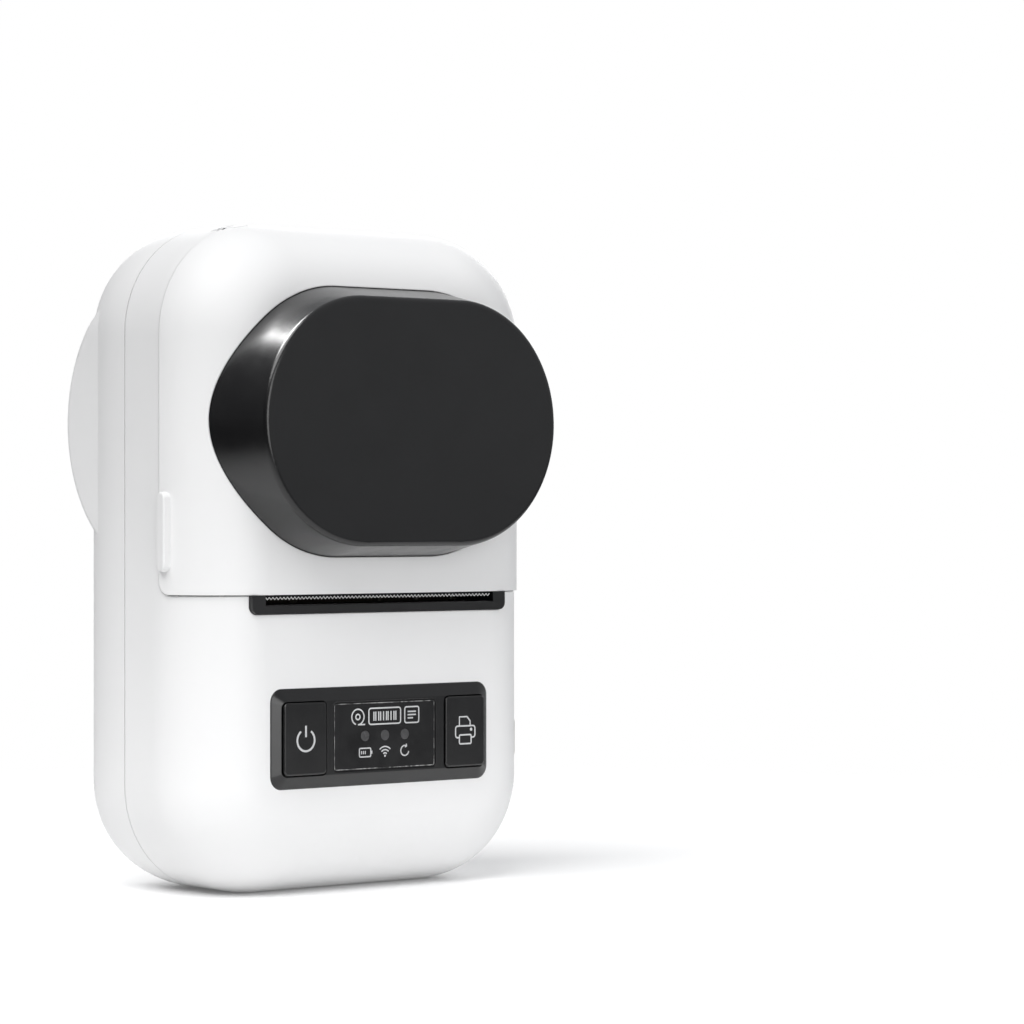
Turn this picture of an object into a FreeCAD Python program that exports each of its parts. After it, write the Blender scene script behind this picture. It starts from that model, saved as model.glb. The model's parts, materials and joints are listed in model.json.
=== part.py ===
"""Thermal label printer: an upright palm-sized casing with a hinged front lid.

Millimetres. +Z is up, +X is right and -Y is out of the front face. The origin is the middle
of the flat strip that the casing stands on. A roll of labels turns on a holder behind the lid,
and the labels leave by the slot between the lid and the control panel.
"""
import FreeCAD
import Part

import math
import os
from FreeCAD import Vector

# --- casing -----------------------------------------------------------------------------
CASE_W = 82.0
CASE_D = 41.0
CASE_H = 125.0
WALL = 2.0
CORNER_R = 20.5          # corners of the outline, seen from the front
FRONT_DEEP = 15.5        # front edge rounding, along Y
FRONT_IN = 14.4          # front edge rounding, across the face
REAR_DEEP = 13.7
REAR_IN = 5.5
SEAM_GAP = 0.18
REAR_SEAM_Y = 4.4        # joint between the rear and front shells
LID_SEAM_Y = -7.1        # joint between the front shell and the lid
LID_BOTTOM_Z = 56.0
LID_SEAM_R = 2.5
LID_PROUD = 0.5
TONGUE = 1.4             # overlap of the two shells at the rear seam
TONGUE_T = 0.9
FIT = 0.1                # clearance of a part that is pushed into place
RIB_T = 1.6
FAR = 200.0              # further than anything reaches, for cuts that run right out
PART_GAP = 0.3           # clearance between separate mouldings

# --- label roll bay ---------------------------------------------------------------------
BAY_Y = -2.0
BAY_Z = 88.0
BULGE_R = 28.0
BULGE_STEP = 1.0         # how far the barrel's ends stay inside the casing's sides
BULGE_HALF = CASE_W / 2 - BULGE_STEP
BULGE_EDGE_R = 1.6
TUB_T = 0.8
TUB_R = BULGE_R - WALL - 2 * FIT - TUB_T
TUB_HALF = 30.2
CHEEK_T = 2.4
DECK_T = 1.6
HOLDER_SLOT_RISE = 35.0  # degrees that each holder slot climbs towards its mouth
PAPER_GATE_Y = (-5.4, 6.7)
MECH_HALF = 33.4         # room for the print mechanism under the bay

# --- roll cover on the lid --------------------------------------------------------------
COVER_BASE_W = 72.3      # at the plane of the casing's front face
COVER_BASE_H = 50.4
COVER_FACE_W = 69.0
COVER_FACE_H = 45.9
COVER_OUT = 10.4
COVER_WALL = 2.0
COVER_EDGE_R = 1.0
COVER_RIM = 2.5
COVER_RIM_T = 1.2
COVER_ROOT = 14.0        # how far its walls run back behind the front face

# --- lid hinge --------------------------------------------------------------------------
HINGE_NOSE_R = 1.6
HINGE_Y = -6.9
HINGE_Z = CASE_H - HINGE_NOSE_R
HINGE_PIN_R = 0.7
HINGE_FIT = 0.06
HINGE_HALF = 26.4
NOTCH_HALF = CASE_W / 2 - CORNER_R + math.sqrt(CORNER_R ** 2 - (CORNER_R - HINGE_NOSE_R) ** 2)
LUG_X = 23.4
LUG_W = 3.0
LUG_REACH = 4.0
LUG_RISE = (-1.4, 0.8)   # of the web behind each lug, about the hinge axis
PULL_TAB = (-10.0, -7.6, 60.3, 74.9)
PULL_TAB_OUT = 0.8
PULL_TAB_ROOT = 1.0
PULL_TAB_EDGE_R = 0.35

# --- exit slot --------------------------------------------------------------------------
TRIM_HALF = 30.2
TRIM_BOTTOM_Z = 52.5
TRIM_LIP_Z = 54.2
TRIM_PROUD = 0.45
TRIM_DEEP = 7.5
TRIM_CORNER_R = 1.3
TRIM_LIP_R = 0.4
SLOT_HALF = 27.2
TEAR_HALF = 27.0
TEAR_T = 0.3
TEAR_TIP_Z = 55.05
TEAR_PITCH = 1.0
TEAR_TOOTH = 0.6
TEAR_H = 3.8
TEAR_INSET = 0.6

# --- control panel ----------------------------------------------------------------------
PANEL_Z = 29.4
PANEL_W = 51.8
PANEL_H = 18.6
PANEL_CHAMFER = 2.4
PANEL_OUT = 1.3
PANEL_CORNER_R = 2.5
PANEL_FACE_R = 0.8       # corners of the flat face and of the window
PANEL_PLUG = 2.6         # depth of the bezel behind the front face
PANEL_PLUG_INSET = 1.0
BUTTON_X = (-18.85, 19.3)
BUTTON_W = (9.8, 9.6)
BUTTON_MARGIN = 0.2      # left of the flat face above and below a button
BUTTON_H = PANEL_H - 2 * (PANEL_CHAMFER + BUTTON_MARGIN)
BUTTON_R = 0.9
BUTTON_EDGE_R = 0.3
BUTTON_GAP = 0.25
BUTTON_PROUD = 0.3
BUTTON_CAP_T = 1.9
BUTTON_FLANGE = 0.6      # lips above and below that keep a button in the bezel
BUTTON_FLANGE_T = 0.8
BUTTON_FLANGE_BACK = 0.9 # from the cap's full depth to the lips
BUTTON_STEM_R = 1.5
REST_GAP = 0.05          # between faces that meet when a button is at rest
WINDOW_W = 24.4
WINDOW_MARGIN = 0.5
WINDOW_H = PANEL_H - 2 * (PANEL_CHAMFER + WINDOW_MARGIN)
WINDOW_T = 1.0
WINDOW_SINK = 0.1
LED_X = (-4.7, 0.05, 4.8)
LED_R = 1.0
LED_SIZE = (1.6, 0.8)    # width and height of an LED on the board

# --- main board -------------------------------------------------------------------------
BOARD_Y = 7.3 - CASE_D / 2    # front face of the board
BOARD_T = 1.2
BOARD_HALF = CASE_W / 2 - 5.5
BOARD_Z = (16.0, 47.0)
BOARD_CORNER_R = 3.0
BOARD_HOLE_X = BOARD_HALF - 4.0
BOARD_HOLE_Z = (20.0, 43.5)
SWITCH_SIZE = (6.0, 1.9, 6.0)
PLUNGER_R = 1.6
PLUNGER_OUT = 0.9
PLUNGER_FOOT = 1.1       # from its inner end to the board
WELL_FLOOR = 0.4
USB_Z = 27.0
USB_W = 8.94
USB_H = 3.26
USB_LONG = 7.35
USB_WALL = 0.3
USB_BACK = 1.0
USB_BLADE = (0.7, 6.48, 5.85) # thickness, width and length of the contact blade
USB_BLADE_ROOT = 0.5
USB_END_X = CASE_W / 2 - 0.7
BATTERY = (50.0, 10.0, 28.0)
BATTERY_Y = -3.0
BATTERY_Z = 4.5
BATTERY_R = 3.0
BATTERY_RIB_X = 14.0
BATTERY_RIB_UP = 20.0
CONTROLLER = ((-9.0, 1.0), (24.0, 34.0), 1.0)    # x span, z span and height of each chip
RADIO = ((-27.0, -14.0), (24.0, 42.0), 2.0)
HEAD_PLUG = ((-11.0, 11.0), (41.5, 45.0), 2.0)
MOTOR_PLUG = ((18.0, 26.0), (36.0, 40.0), 4.0)

# --- screws -----------------------------------------------------------------------------
CASE_SCREWS = ((34.0, 16.0), (36.6, 52.0), (22.0, CASE_H - 7.7))
CASE_SCREW_R = 1.15
CASE_SCREW_HEAD_R = 2.1
CASE_SCREW_HEAD_T = 1.6
CASE_SCREW_SEAT_Y = CASE_D / 2 - 10.0
CASE_SCREW_BITE = 7.0    # length in the front shell's boss
CASE_BOSS_WALL = 1.3
SMALL_BOSS_WALL = 1.4
HEAD_WALL = 0.9          # round a hole that a screw head enters
BITE_ROOM = 0.4          # of a blind hole beyond its screw's tip
SMALL_SCREW_R = 0.9
SMALL_HEAD_R = 1.6
SMALL_HEAD_T = 1.2
BOARD_SCREW_BITE = 3.0
CHASSIS_SCREW_BITE = 2.6
HOLDER_SCREW_BITE = 1.8
CROSS_W = 0.5            # width of the cross in a screw head
CROSS_SHARE = 0.62       # of the head's radius
CROSS_DEEP = 0.6         # of the head's height

# --- print mechanism --------------------------------------------------------------------
PLATEN_Y = 10.0 - CASE_D / 2
PLATEN_Z = 59.8
PLATEN_R = 4.3
PLATEN_HALF = 26.0
PLATEN_ROOM = 0.4
PLATEN_HOLDER_T = 1.4
PLATEN_HOLDER_Z = (57.0, 66.4)
PLATEN_HOLDER_BACK_Y = -7.7
PLATEN_WING = (36.0, (58.5, 65.5))
HOLDER_BOSS = (33.5, 62.0)
SHAFT_R = 1.5
BUSH_R = 2.6
BUSH_X = (27.0, 28.3)
RUNNING_FIT = 0.05
SHAFT_END = 0.4          # of a shaft beyond its bearing
LABEL_GAP = 0.2          # room for one label between the head and the roller
HEAD_TILT = 45.0         # degrees below the horizontal at which the head meets the roller
HEAD_HALF = 26.4
HEAD_T = 1.0
HEAD_LONG = (-2.5, 7.5)
SINK_T = 2.0
SINK_LONG = (-2.5, 11.6)
SINK_EAR_W = 3.0
SENSOR_LONG = (8.2, 11.2)
SENSOR_HALF = 3.0
PIVOT_ALONG = 13.0
PIVOT_R = 1.0
PIVOT_EYE_R = 1.7
SPRING_X = 14.0
SPRING_ALONG = 2.0
SPRING_R = 1.8
SPRING_WIRE_R = 0.25
SPRING_TURNS = 6
SPRING_BED = 9.0         # distance from the roller's surface to the springs' bed
BED_LONG = (-1.0, 5.5)
BED_T = 1.8
CHASSIS_HALF = 28.6
CHASSIS_T = 1.6
CHASSIS_BACK_Y = CASE_D / 2 - 6.5
CHASSIS_BACK_T = 1.5
CHASSIS_Z = (34.0, 61.0)
CHEEK_FOOT_Y = 0.0
CHEEK_FRONT = ((-6.2, 46.0), (-6.2, 62.5), (-2.0, 66.4), (4.9, 66.4), (6.4, 63.0))
CHASSIS_SCREWS = ((20.0, 37.5), (20.0, 58.0))

# --- gear train -------------------------------------------------------------------------
PRESSURE_ANGLE = math.radians(20.0)
ADDENDUM = 0.8           # in modules: stub teeth
DEDENDUM = 1.15
BACKLASH = 0.08
FINE = 0.4               # module of the motor stage
COARSE = 0.5             # module of the platen stage
MOTOR_TEETH = 12
WHEEL_TEETH = 36
SMALL_TEETH = 12
IDLER_TEETH = 24
PLATEN_TEETH = 16
COARSE_X = (28.9, 30.7)
FINE_X = (31.0, 32.8)
WHEEL_DIR = math.radians(-60.0)
MOTOR_DIR = math.radians(-80.0)
GEAR_PIN_R = 0.8
MOTOR_R = 7.5
MOTOR_X = (12.0, 27.0)
MOTOR_SHAFT_R = 0.75
MOTOR_BOSS = (1.95, 1.0) # radius and length
MOTOR_EDGE_R = 0.8
MOTOR_SHAFT_IN = 4.0     # from the can's closed end to the shaft's inner end
PIN_END = 0.2            # of a pin or shaft beyond its gear
WASHER_ROOM = 0.2

# --- roll holder ------------------------------------------------------------------------
HOLDER_END = 32.4
HOLDER_PIN_R = 3.9
HOLDER_PIN_EDGE_R = 0.5
HOLDER_SLOT_LONG = 14.0
HOLDER_BODY_R = 4.85
HOLDER_SLOT_CLEAR = 0.15
FLANGE_R = 22.0
FLANGE_T = 3.0
FLANGE_FLAT = 17.0       # half the width across a flange's two flats
FLANGE_EDGE_R = 0.6
ROLL_W = 49.4            # gap between the flanges, for 50 mm label stock with its liner
WINDOW_LONG = 21.5
WINDOW_GAP = 3.0
WINDOW_WIDE = 5.0
SLIDING_FIT = 0.08


# --- shape helpers ----------------------------------------------------------------------
def block(x_span, y_span, z_span):
    size = (x_span[1] - x_span[0], y_span[1] - y_span[0], z_span[1] - z_span[0])
    return Part.makeBox(*size, Vector(x_span[0], y_span[0], z_span[0]))


def rod_x(radius, x_span, y, z):
    return Part.makeCylinder(radius, x_span[1] - x_span[0], Vector(x_span[0], y, z), Vector(1, 0, 0))


def rod_y(radius, y_span, x, z):
    return Part.makeCylinder(radius, y_span[1] - y_span[0], Vector(x, y_span[0], z), Vector(0, 1, 0))


def join(first, *others):
    return first.multiFuse(list(others)).removeSplitter() if others else first


def cut(body, *tools):
    return body.cut(list(tools)) if tools else body


def flip_x(shape):
    return shape.mirror(Vector(0, 0, 0), Vector(1, 0, 0))


def both_sides(shape):
    return [shape, flip_x(shape)]


def prism_x(points, x_span):
    """A plate with straight sides, from (y, z) points."""
    wire = Part.makePolygon([Vector(x_span[0], y, z) for y, z in points + points[:1]])
    return Part.Face(wire).extrude(Vector(x_span[1] - x_span[0], 0, 0))


def rounded_panel(width, height, radius, y_span, x=0.0, z=0.0):
    """A plate facing the front, with rounded corners."""
    plate = block((x - width / 2, x + width / 2), y_span, (z - height / 2, z + height / 2))
    upright = [e for e in plate.Edges if e.tangentAt(e.FirstParameter).cross(Vector(0, 1, 0)).Length < 1e-6]
    return plate.makeFillet(radius, upright)


def rounded_wire(width, height, radius, y, x=0.0, z=0.0):
    """A rounded rectangle facing the front, as straight edges and quarter circles."""
    reach_x = width / 2 - radius
    reach_z = height / 2 - radius
    edges = []
    for turn in range(4):
        angle = turn * math.pi / 2
        sign_x = 1 if turn in (0, 3) else -1
        sign_z = 1 if turn in (0, 1) else -1
        centre = Vector(x + sign_x * reach_x, y, z + sign_z * reach_z)
        ring = [centre + Vector(math.cos(a), 0, math.sin(a)) * radius
                for a in (angle, angle + math.pi / 4, angle + math.pi / 2)]
        edges.append(Part.Arc(*ring).toShape())
    ends = [(edges[i].Vertexes[-1].Point, edges[(i + 1) % 4].Vertexes[0].Point) for i in range(4)]
    straight = [Part.makeLine(a, b) for a, b in ends if (b - a).Length > 1e-6]
    return Part.Wire(Part.__sortEdges__(edges + straight))


def quarter_ellipse(centre, reach_a, reach_b):
    """An exact quarter of an ellipse from centre + reach_a to centre + reach_b."""
    curve = Part.BSplineCurve()
    poles = [centre + reach_a, centre + reach_a + reach_b, centre + reach_b]
    curve.buildFromPolesMultsKnots(poles, [3, 3], [0, 1], False, 2, [1, math.sqrt(0.5), 1])
    return curve.toShape()


# --- casing form ------------------------------------------------------------------------
def casing_form(inset=0.0, proud=0.0):
    """The casing as a solid, moved inwards by inset; proud widens its sides and front only."""
    half_w = CASE_W / 2 - inset + proud
    y_front = -CASE_D / 2 + inset - proud
    y_rear = CASE_D / 2 - inset
    z_high = CASE_H - inset
    radius = CORNER_R - inset + proud
    front_deep = FRONT_DEEP - inset + proud
    front_in = FRONT_IN - inset + proud
    rear_deep = REAR_DEEP - inset
    rear_in = REAR_IN - inset
    z_mid = CASE_H / 2
    cx = half_w - radius
    cz = z_high - radius
    edge_x = half_w
    corners = [
        Vector(cx, y_front, cz),
        Vector(edge_x - front_in, y_front, cz),
        Vector(edge_x, y_front + front_deep, cz),
        Vector(edge_x, y_rear - rear_deep, cz),
        Vector(edge_x - rear_in, y_rear, cz),
        Vector(cx, y_rear, cz),
    ]
    front_arc = quarter_ellipse(Vector(edge_x - front_in, y_front + front_deep, cz),
                                Vector(0, -front_deep, 0), Vector(front_in, 0, 0))
    rear_arc = quarter_ellipse(Vector(edge_x - rear_in, y_rear - rear_deep, cz),
                               Vector(rear_in, 0, 0), Vector(0, rear_deep, 0))
    section = Part.Face(Part.Wire([
        Part.makeLine(corners[0], corners[1]), front_arc,
        Part.makeLine(corners[2], corners[3]), rear_arc,
        Part.makeLine(corners[4], corners[5]), Part.makeLine(corners[5], corners[0]),
    ]))
    corner = section.revolve(Vector(cx, 0, cz), Vector(0, -1, 0), 90)
    side = section.extrude(Vector(0, 0, z_mid - cz))
    upright = section.copy()
    upright.rotate(Vector(cx, 0, cz), Vector(0, -1, 0), 90)
    top = upright.extrude(Vector(-cx, 0, 0))
    core = block((0, cx), (y_front, y_rear), (z_mid, cz))
    quadrant = join(corner, side, top, core)
    right = join(quadrant, quadrant.mirror(Vector(0, 0, z_mid), Vector(0, 0, 1)))
    return join(right, flip_x(right))


def behind(y):
    """Everything further back than y."""
    return block((-FAR, FAR), (y, FAR), (-FAR, FAR))


def bulge_form(inset=0.0):
    """The barrel that gives the roll room at the back."""
    barrel = rod_x(BULGE_R - inset, (-CASE_W, CASE_W), BAY_Y, BAY_Z)
    step = BULGE_STEP + inset
    outline = rounded_wire(CASE_W - 2 * step, CASE_H - 2 * step, CORNER_R - step, -FAR, 0, CASE_H / 2)
    barrel = barrel.common(Part.Face(outline).extrude(Vector(0, 2 * FAR, 0)))
    rims = [e for e in barrel.Edges if abs(e.CenterOfMass.x) > 1]
    return barrel.makeFillet(BULGE_EDGE_R, rims)


def lid_zone(grow=0.0):
    """The front upper part of the casing that the lid takes, as a block with one round corner."""
    y = LID_SEAM_Y + grow
    z = LID_BOTTOM_Z - grow
    radius = LID_SEAM_R + grow
    points = [Vector(-FAR, -FAR, z), Vector(-FAR, y - radius, z), Vector(-FAR, y, z + radius),
              Vector(-FAR, y, FAR), Vector(-FAR, -FAR, FAR)]
    turn = Vector(-FAR, y - radius + radius * math.sin(math.pi / 4),
                  z + radius - radius * math.cos(math.pi / 4))
    outline = Part.Wire([
        Part.makeLine(points[0], points[1]), Part.Arc(points[1], turn, points[2]).toShape(),
        Part.makeLine(points[2], points[3]), Part.makeLine(points[3], points[4]),
        Part.makeLine(points[4], points[0]),
    ])
    return Part.Face(outline).extrude(Vector(2 * FAR, 0, 0))


def cover_form(inset=0.0, front_inset=None):
    """The tapered round-ended block that stands out of the lid in front of the roll."""
    front_inset = inset if front_inset is None else front_inset
    face_y = -CASE_D / 2
    taper_w = (COVER_BASE_W - COVER_FACE_W) / COVER_OUT
    taper_h = (COVER_BASE_H - COVER_FACE_H) / COVER_OUT
    wires = []
    for y in (face_y + COVER_ROOT, face_y - COVER_OUT + front_inset):
        width = COVER_BASE_W + taper_w * (y - face_y) - 2 * inset
        height = COVER_BASE_H + taper_h * (y - face_y) - 2 * inset
        wires.append(rounded_wire(width, height, height / 2, y, 0, BAY_Z))
    return Part.makeLoft(wires, True, True)


# --- shells -----------------------------------------------------------------------------
def case_screw_places():
    return [(side * x, z) for x, z in CASE_SCREWS for side in (-1, 1)]


def chassis_screw_places():
    return [(side * x, z) for x, z in CHASSIS_SCREWS for side in (-1, 1)]


def board_hole_places():
    return [(side * BOARD_HOLE_X, z) for z in BOARD_HOLE_Z for side in (-1, 1)]


def rear_shell():
    outer = join(casing_form(), bulge_form()).common(behind(REAR_SEAM_Y + SEAM_GAP / 2))
    hollow = join(casing_form(WALL), bulge_form(WALL))
    shell = outer.cut(hollow)
    tongue = casing_form(WALL - TONGUE_T).cut(casing_form(WALL))
    tongue = tongue.common(behind(REAR_SEAM_Y - TONGUE)).cut(behind(REAR_SEAM_Y + TONGUE))
    adds = [tongue]
    limit = casing_form(WALL / 2)
    for x, z in case_screw_places():
        post = rod_y(CASE_SCREW_HEAD_R + HEAD_WALL, (REAR_SEAM_Y + SEAM_GAP / 2, CASE_D / 2), x, z)
        adds.append(post.common(limit))
    for x, z in chassis_screw_places():
        y_span = (CHASSIS_BACK_Y + CHASSIS_BACK_T, CASE_D / 2 - WALL / 2)
        adds.append(rod_y(SMALL_HEAD_R + HEAD_WALL, y_span, x, z))
    adds += battery_ribs()
    shell = join(shell, *adds)
    bores = []
    for x, z in case_screw_places():
        bores.append(rod_y(CASE_SCREW_R + FIT, (-FAR, FAR), x, z))
        bores.append(rod_y(CASE_SCREW_HEAD_R + FIT, (CASE_SCREW_SEAT_Y, FAR), x, z))
    for x, z in chassis_screw_places():
        bores.append(rod_y(SMALL_SCREW_R, (CHASSIS_BACK_Y, CASE_D / 2 - WALL), x, z))
    return cut(shell, *bores)


def battery_ribs():
    ribs = []
    back = BATTERY_Y + BATTERY[1]
    for x in (-BATTERY_RIB_X, BATTERY_RIB_X):
        x_span = (x - RIB_T / 2, x + RIB_T / 2)
        z_span = (WALL + PART_GAP, BATTERY_Z + BATTERY_RIB_UP)
        ribs.append(block(x_span, (back, CASE_D / 2 - WALL / 2), z_span))
        ribs.append(block(x_span, (BATTERY_Y, back), (WALL + PART_GAP, BATTERY_Z)))
    limit = casing_form(WALL / 2)
    return [rib.common(limit) for rib in ribs]


def hinge_lug(x):
    x_span = (x - LUG_W / 2, x + LUG_W / 2)
    eye = rod_x(HINGE_NOSE_R - FIT, x_span, HINGE_Y, HINGE_Z)
    web = block(x_span, (HINGE_Y, HINGE_Y + LUG_REACH), [HINGE_Z + rise for rise in LUG_RISE])
    return join(eye, web).common(casing_form())


def trim_outline(grow, z_high, y_span):
    """The slot trim's round-cornered outline, open at the top."""
    x_span = (-TRIM_HALF - grow, TRIM_HALF + grow)
    plate = block(x_span, y_span, (TRIM_BOTTOM_Z - grow, z_high))
    low = [e for e in plate.Edges
           if abs(e.CenterOfMass.z - TRIM_BOTTOM_Z + grow) < 1e-6 and abs(e.CenterOfMass.x) > TRIM_HALF - 1]
    return plate.makeFillet(TRIM_CORNER_R + grow, low)


def usb_place(grow):
    """The round-ended body of the charging socket, widened by grow."""
    x_span = (USB_END_X - USB_LONG, USB_END_X)
    y = BOARD_Y + BOARD_T + USB_H / 2
    radius = USB_H / 2 + grow
    reach = (USB_W - USB_H) / 2
    ends = [rod_x(radius, x_span, y, USB_Z + side * reach) for side in (-1, 1)]
    middle = block(x_span, (y - radius, y + radius), (USB_Z - reach, USB_Z + reach))
    return join(middle, *ends)


def front_shell():
    half_gap = SEAM_GAP / 2
    outer = casing_form().cut(behind(REAR_SEAM_Y - half_gap)).cut(lid_zone(SEAM_GAP))
    shell = outer.cut(casing_form(WALL))
    rebate = casing_form(WALL - TONGUE_T - FIT)
    rebate = rebate.common(behind(REAR_SEAM_Y - TONGUE - FIT))
    groove = rebate.cut(casing_form(WALL + FIT))
    nose_sweep = rod_x(HINGE_NOSE_R + PART_GAP, (-HINGE_HALF - FIT, HINGE_HALF + FIT), HINGE_Y, HINGE_Z)
    lid_sweep = block((-NOTCH_HALF - PART_GAP, NOTCH_HALF + PART_GAP),
                      (HINGE_Y - 1, HINGE_Y + HINGE_NOSE_R + PART_GAP), (HINGE_Z, FAR))
    shell = cut(shell, rebate, nose_sweep, lid_sweep)
    limit = casing_form(WALL / 2)
    adds = [hinge_lug(side * LUG_X) for side in (-1, 1)]
    for x, z in case_screw_places():
        front = BOARD_Y + BOARD_T + PART_GAP if z < LID_BOTTOM_Z else LID_SEAM_Y + 2 * PART_GAP + DECK_T
        y_span = (front, REAR_SEAM_Y - half_gap)
        adds.append(rod_y(CASE_SCREW_R + CASE_BOSS_WALL, y_span, x, z).cut(groove))
        if z > BAY_Z:
            rib = block((x - RIB_T / 2, x + RIB_T / 2), y_span, (z, CASE_H))
        else:
            rib = block(sorted((x, math.copysign(CASE_W / 2, x))), y_span, (z - RIB_T / 2, z + RIB_T / 2))
        adds.append(rib.common(limit).cut(rebate))
    for x, z in board_hole_places():
        adds.append(rod_y(SMALL_SCREW_R + SMALL_BOSS_WALL, (-CASE_D / 2, BOARD_Y), x, z).common(limit))
    shell = join(shell, *adds)
    plug = rounded_panel(PANEL_W - 2 * PANEL_PLUG_INSET + 2 * FIT, PANEL_H - 2 * PANEL_PLUG_INSET + 2 * FIT,
                         PANEL_CORNER_R / 2 + FIT, (-FAR, PANEL_PLUG + FIT - CASE_D / 2), 0, PANEL_Z)
    trim = trim_outline(FIT, LID_BOTTOM_Z + WALL, (-FAR, TRIM_DEEP + FIT - CASE_D / 2))
    bores = [plug, trim, usb_place(PART_GAP)]
    bores.append(rod_x(HINGE_PIN_R, (-HINGE_HALF, HINGE_HALF), HINGE_Y, HINGE_Z))
    for x, z in case_screw_places():
        bores.append(rod_y(CASE_SCREW_R, (REAR_SEAM_Y - CASE_SCREW_BITE - BITE_ROOM, FAR), x, z))
    for x, z in board_hole_places():
        bores.append(rod_y(SMALL_SCREW_R, (BOARD_Y - BOARD_SCREW_BITE - BITE_ROOM, BOARD_Y), x, z))
    return cut(shell, *bores)


def pull_tab():
    y0, y1, z0, z1 = PULL_TAB
    end_x = CASE_W / 2 + LID_PROUD + PULL_TAB_OUT
    tab = block((CASE_W / 2 - PULL_TAB_ROOT, end_x), (y0, y1), (z0, z1))
    ends = [e for e in tab.Edges if e.tangentAt(e.FirstParameter).cross(Vector(1, 0, 0)).Length < 1e-6]
    tab = tab.makeFillet(0.99 * (y1 - y0) / 2, ends)
    outer = max(tab.Faces, key=lambda face: face.CenterOfMass.x)
    return tab.makeFillet(PULL_TAB_EDGE_R, outer.Edges)


def holder_boss_places():
    return [(side * HOLDER_BOSS[0], HOLDER_BOSS[1]) for side in (-1, 1)]


def platen_holder_y():
    """The span along Y of the holder's wall in front of the roller."""
    back = PLATEN_Y - PLATEN_R - PLATEN_ROOM
    return (back - PLATEN_HOLDER_T, back)


def lid():
    skin = casing_form(0, LID_PROUD)
    hollow = casing_form(WALL, LID_PROUD)
    shell = skin.cut(hollow).common(lid_zone())
    nose = rod_x(HINGE_NOSE_R, (-HINGE_HALF, HINGE_HALF), HINGE_Y, HINGE_Z).common(casing_form())
    adds = [nose] + both_sides(pull_tab())
    limit = casing_form(WALL / 2, LID_PROUD)
    seat_y = platen_holder_y()[0]
    for x, z in holder_boss_places():
        adds.append(rod_y(SMALL_SCREW_R + SMALL_BOSS_WALL, (-CASE_D / 2, seat_y), x, z).common(limit))
    shell = join(shell, *adds)
    cuts = [cover_form(-FIT)]
    cuts.append(rod_x(HINGE_PIN_R + HINGE_FIT, (-HINGE_HALF - 1, HINGE_HALF + 1), HINGE_Y, HINGE_Z))
    for side in (-1, 1):
        x_span = (side * LUG_X - LUG_W / 2 - PART_GAP, side * LUG_X + LUG_W / 2 + PART_GAP)
        cuts.append(rod_x(HINGE_NOSE_R + PART_GAP, x_span, HINGE_Y, HINGE_Z))
        cuts.append(block(x_span, (HINGE_Y, FAR), (HINGE_Z - 2 * HINGE_NOSE_R, FAR)))
    cuts.append(tear_slot())
    for x, z in holder_boss_places():
        bore_y = (seat_y - HOLDER_SCREW_BITE - FIT, seat_y + PLATEN_HOLDER_T)
        cuts.append(rod_y(SMALL_SCREW_R, bore_y, x, z))
    return cut(shell, *cuts)


def tear_slot():
    face = -CASE_D / 2 - LID_PROUD + TEAR_INSET
    return block((-TEAR_HALF, TEAR_HALF), (face, face + TEAR_T), (LID_BOTTOM_Z - 1, TEAR_TIP_Z + TEAR_H))


def roll_cover():
    outer = cover_form()
    face_edges = [e for e in outer.Edges if e.CenterOfMass.y < -CASE_D / 2 - COVER_OUT + 0.01]
    outer = outer.makeFillet(COVER_EDGE_R, face_edges)
    behind_lid = casing_form(WALL + FIT + COVER_RIM_T, LID_PROUD)
    wall = outer.cut(cover_form(COVER_WALL)).cut(behind_lid)
    rim = casing_form(WALL + FIT, LID_PROUD).cut(behind_lid)
    rim = rim.common(cover_form(-COVER_RIM)).cut(cover_form(COVER_WALL))
    rim = rim.cut(behind(LID_SEAM_Y - 2 * PART_GAP))
    return join(wall, rim).cut(behind(LID_SEAM_Y - 2 * PART_GAP))


def hinge_pin():
    return rod_x(HINGE_PIN_R, (-HINGE_HALF + FIT, HINGE_HALF - FIT), HINGE_Y, HINGE_Z)


# --- exit slot --------------------------------------------------------------------------
def exit_trim():
    front = -CASE_D / 2 - TRIM_PROUD
    y_span = (front, -CASE_D / 2 + TRIM_DEEP)
    top = LID_BOTTOM_Z - SEAM_GAP + FIT
    body = trim_outline(0, top, y_span)
    mouth = block((-SLOT_HALF, SLOT_HALF), (-FAR, FAR), (TRIM_LIP_Z, FAR))
    body = body.cut(mouth)
    lip = [e for e in body.Edges
           if abs(e.CenterOfMass.y - front) < 1e-6 and abs(e.CenterOfMass.z - TRIM_LIP_Z) < 1e-6]
    return body.makeFillet(TRIM_LIP_R, lip)


def tear_bar():
    face = -CASE_D / 2 - LID_PROUD + TEAR_INSET
    count = round(2 * TEAR_HALF / TEAR_PITCH)
    pitch = 2 * TEAR_HALF / count
    root_z = TEAR_TIP_Z + TEAR_TOOTH
    points = [Vector(-TEAR_HALF, face, TEAR_TIP_Z + TEAR_H), Vector(-TEAR_HALF, face, root_z)]
    for i in range(count):
        left = -TEAR_HALF + i * pitch
        points.append(Vector(left + pitch / 2, face, TEAR_TIP_Z))
        points.append(Vector(left + pitch, face, root_z))
    points.append(Vector(TEAR_HALF, face, TEAR_TIP_Z + TEAR_H))
    outline = Part.makePolygon(points + points[:1])
    return Part.Face(outline).extrude(Vector(0, TEAR_T, 0))


# --- control panel ----------------------------------------------------------------------
def panel_front_y():
    return -CASE_D / 2 - PANEL_OUT


def button_stop_y():
    return panel_front_y() - BUTTON_PROUD + BUTTON_CAP_T + BUTTON_FLANGE_BACK


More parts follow.
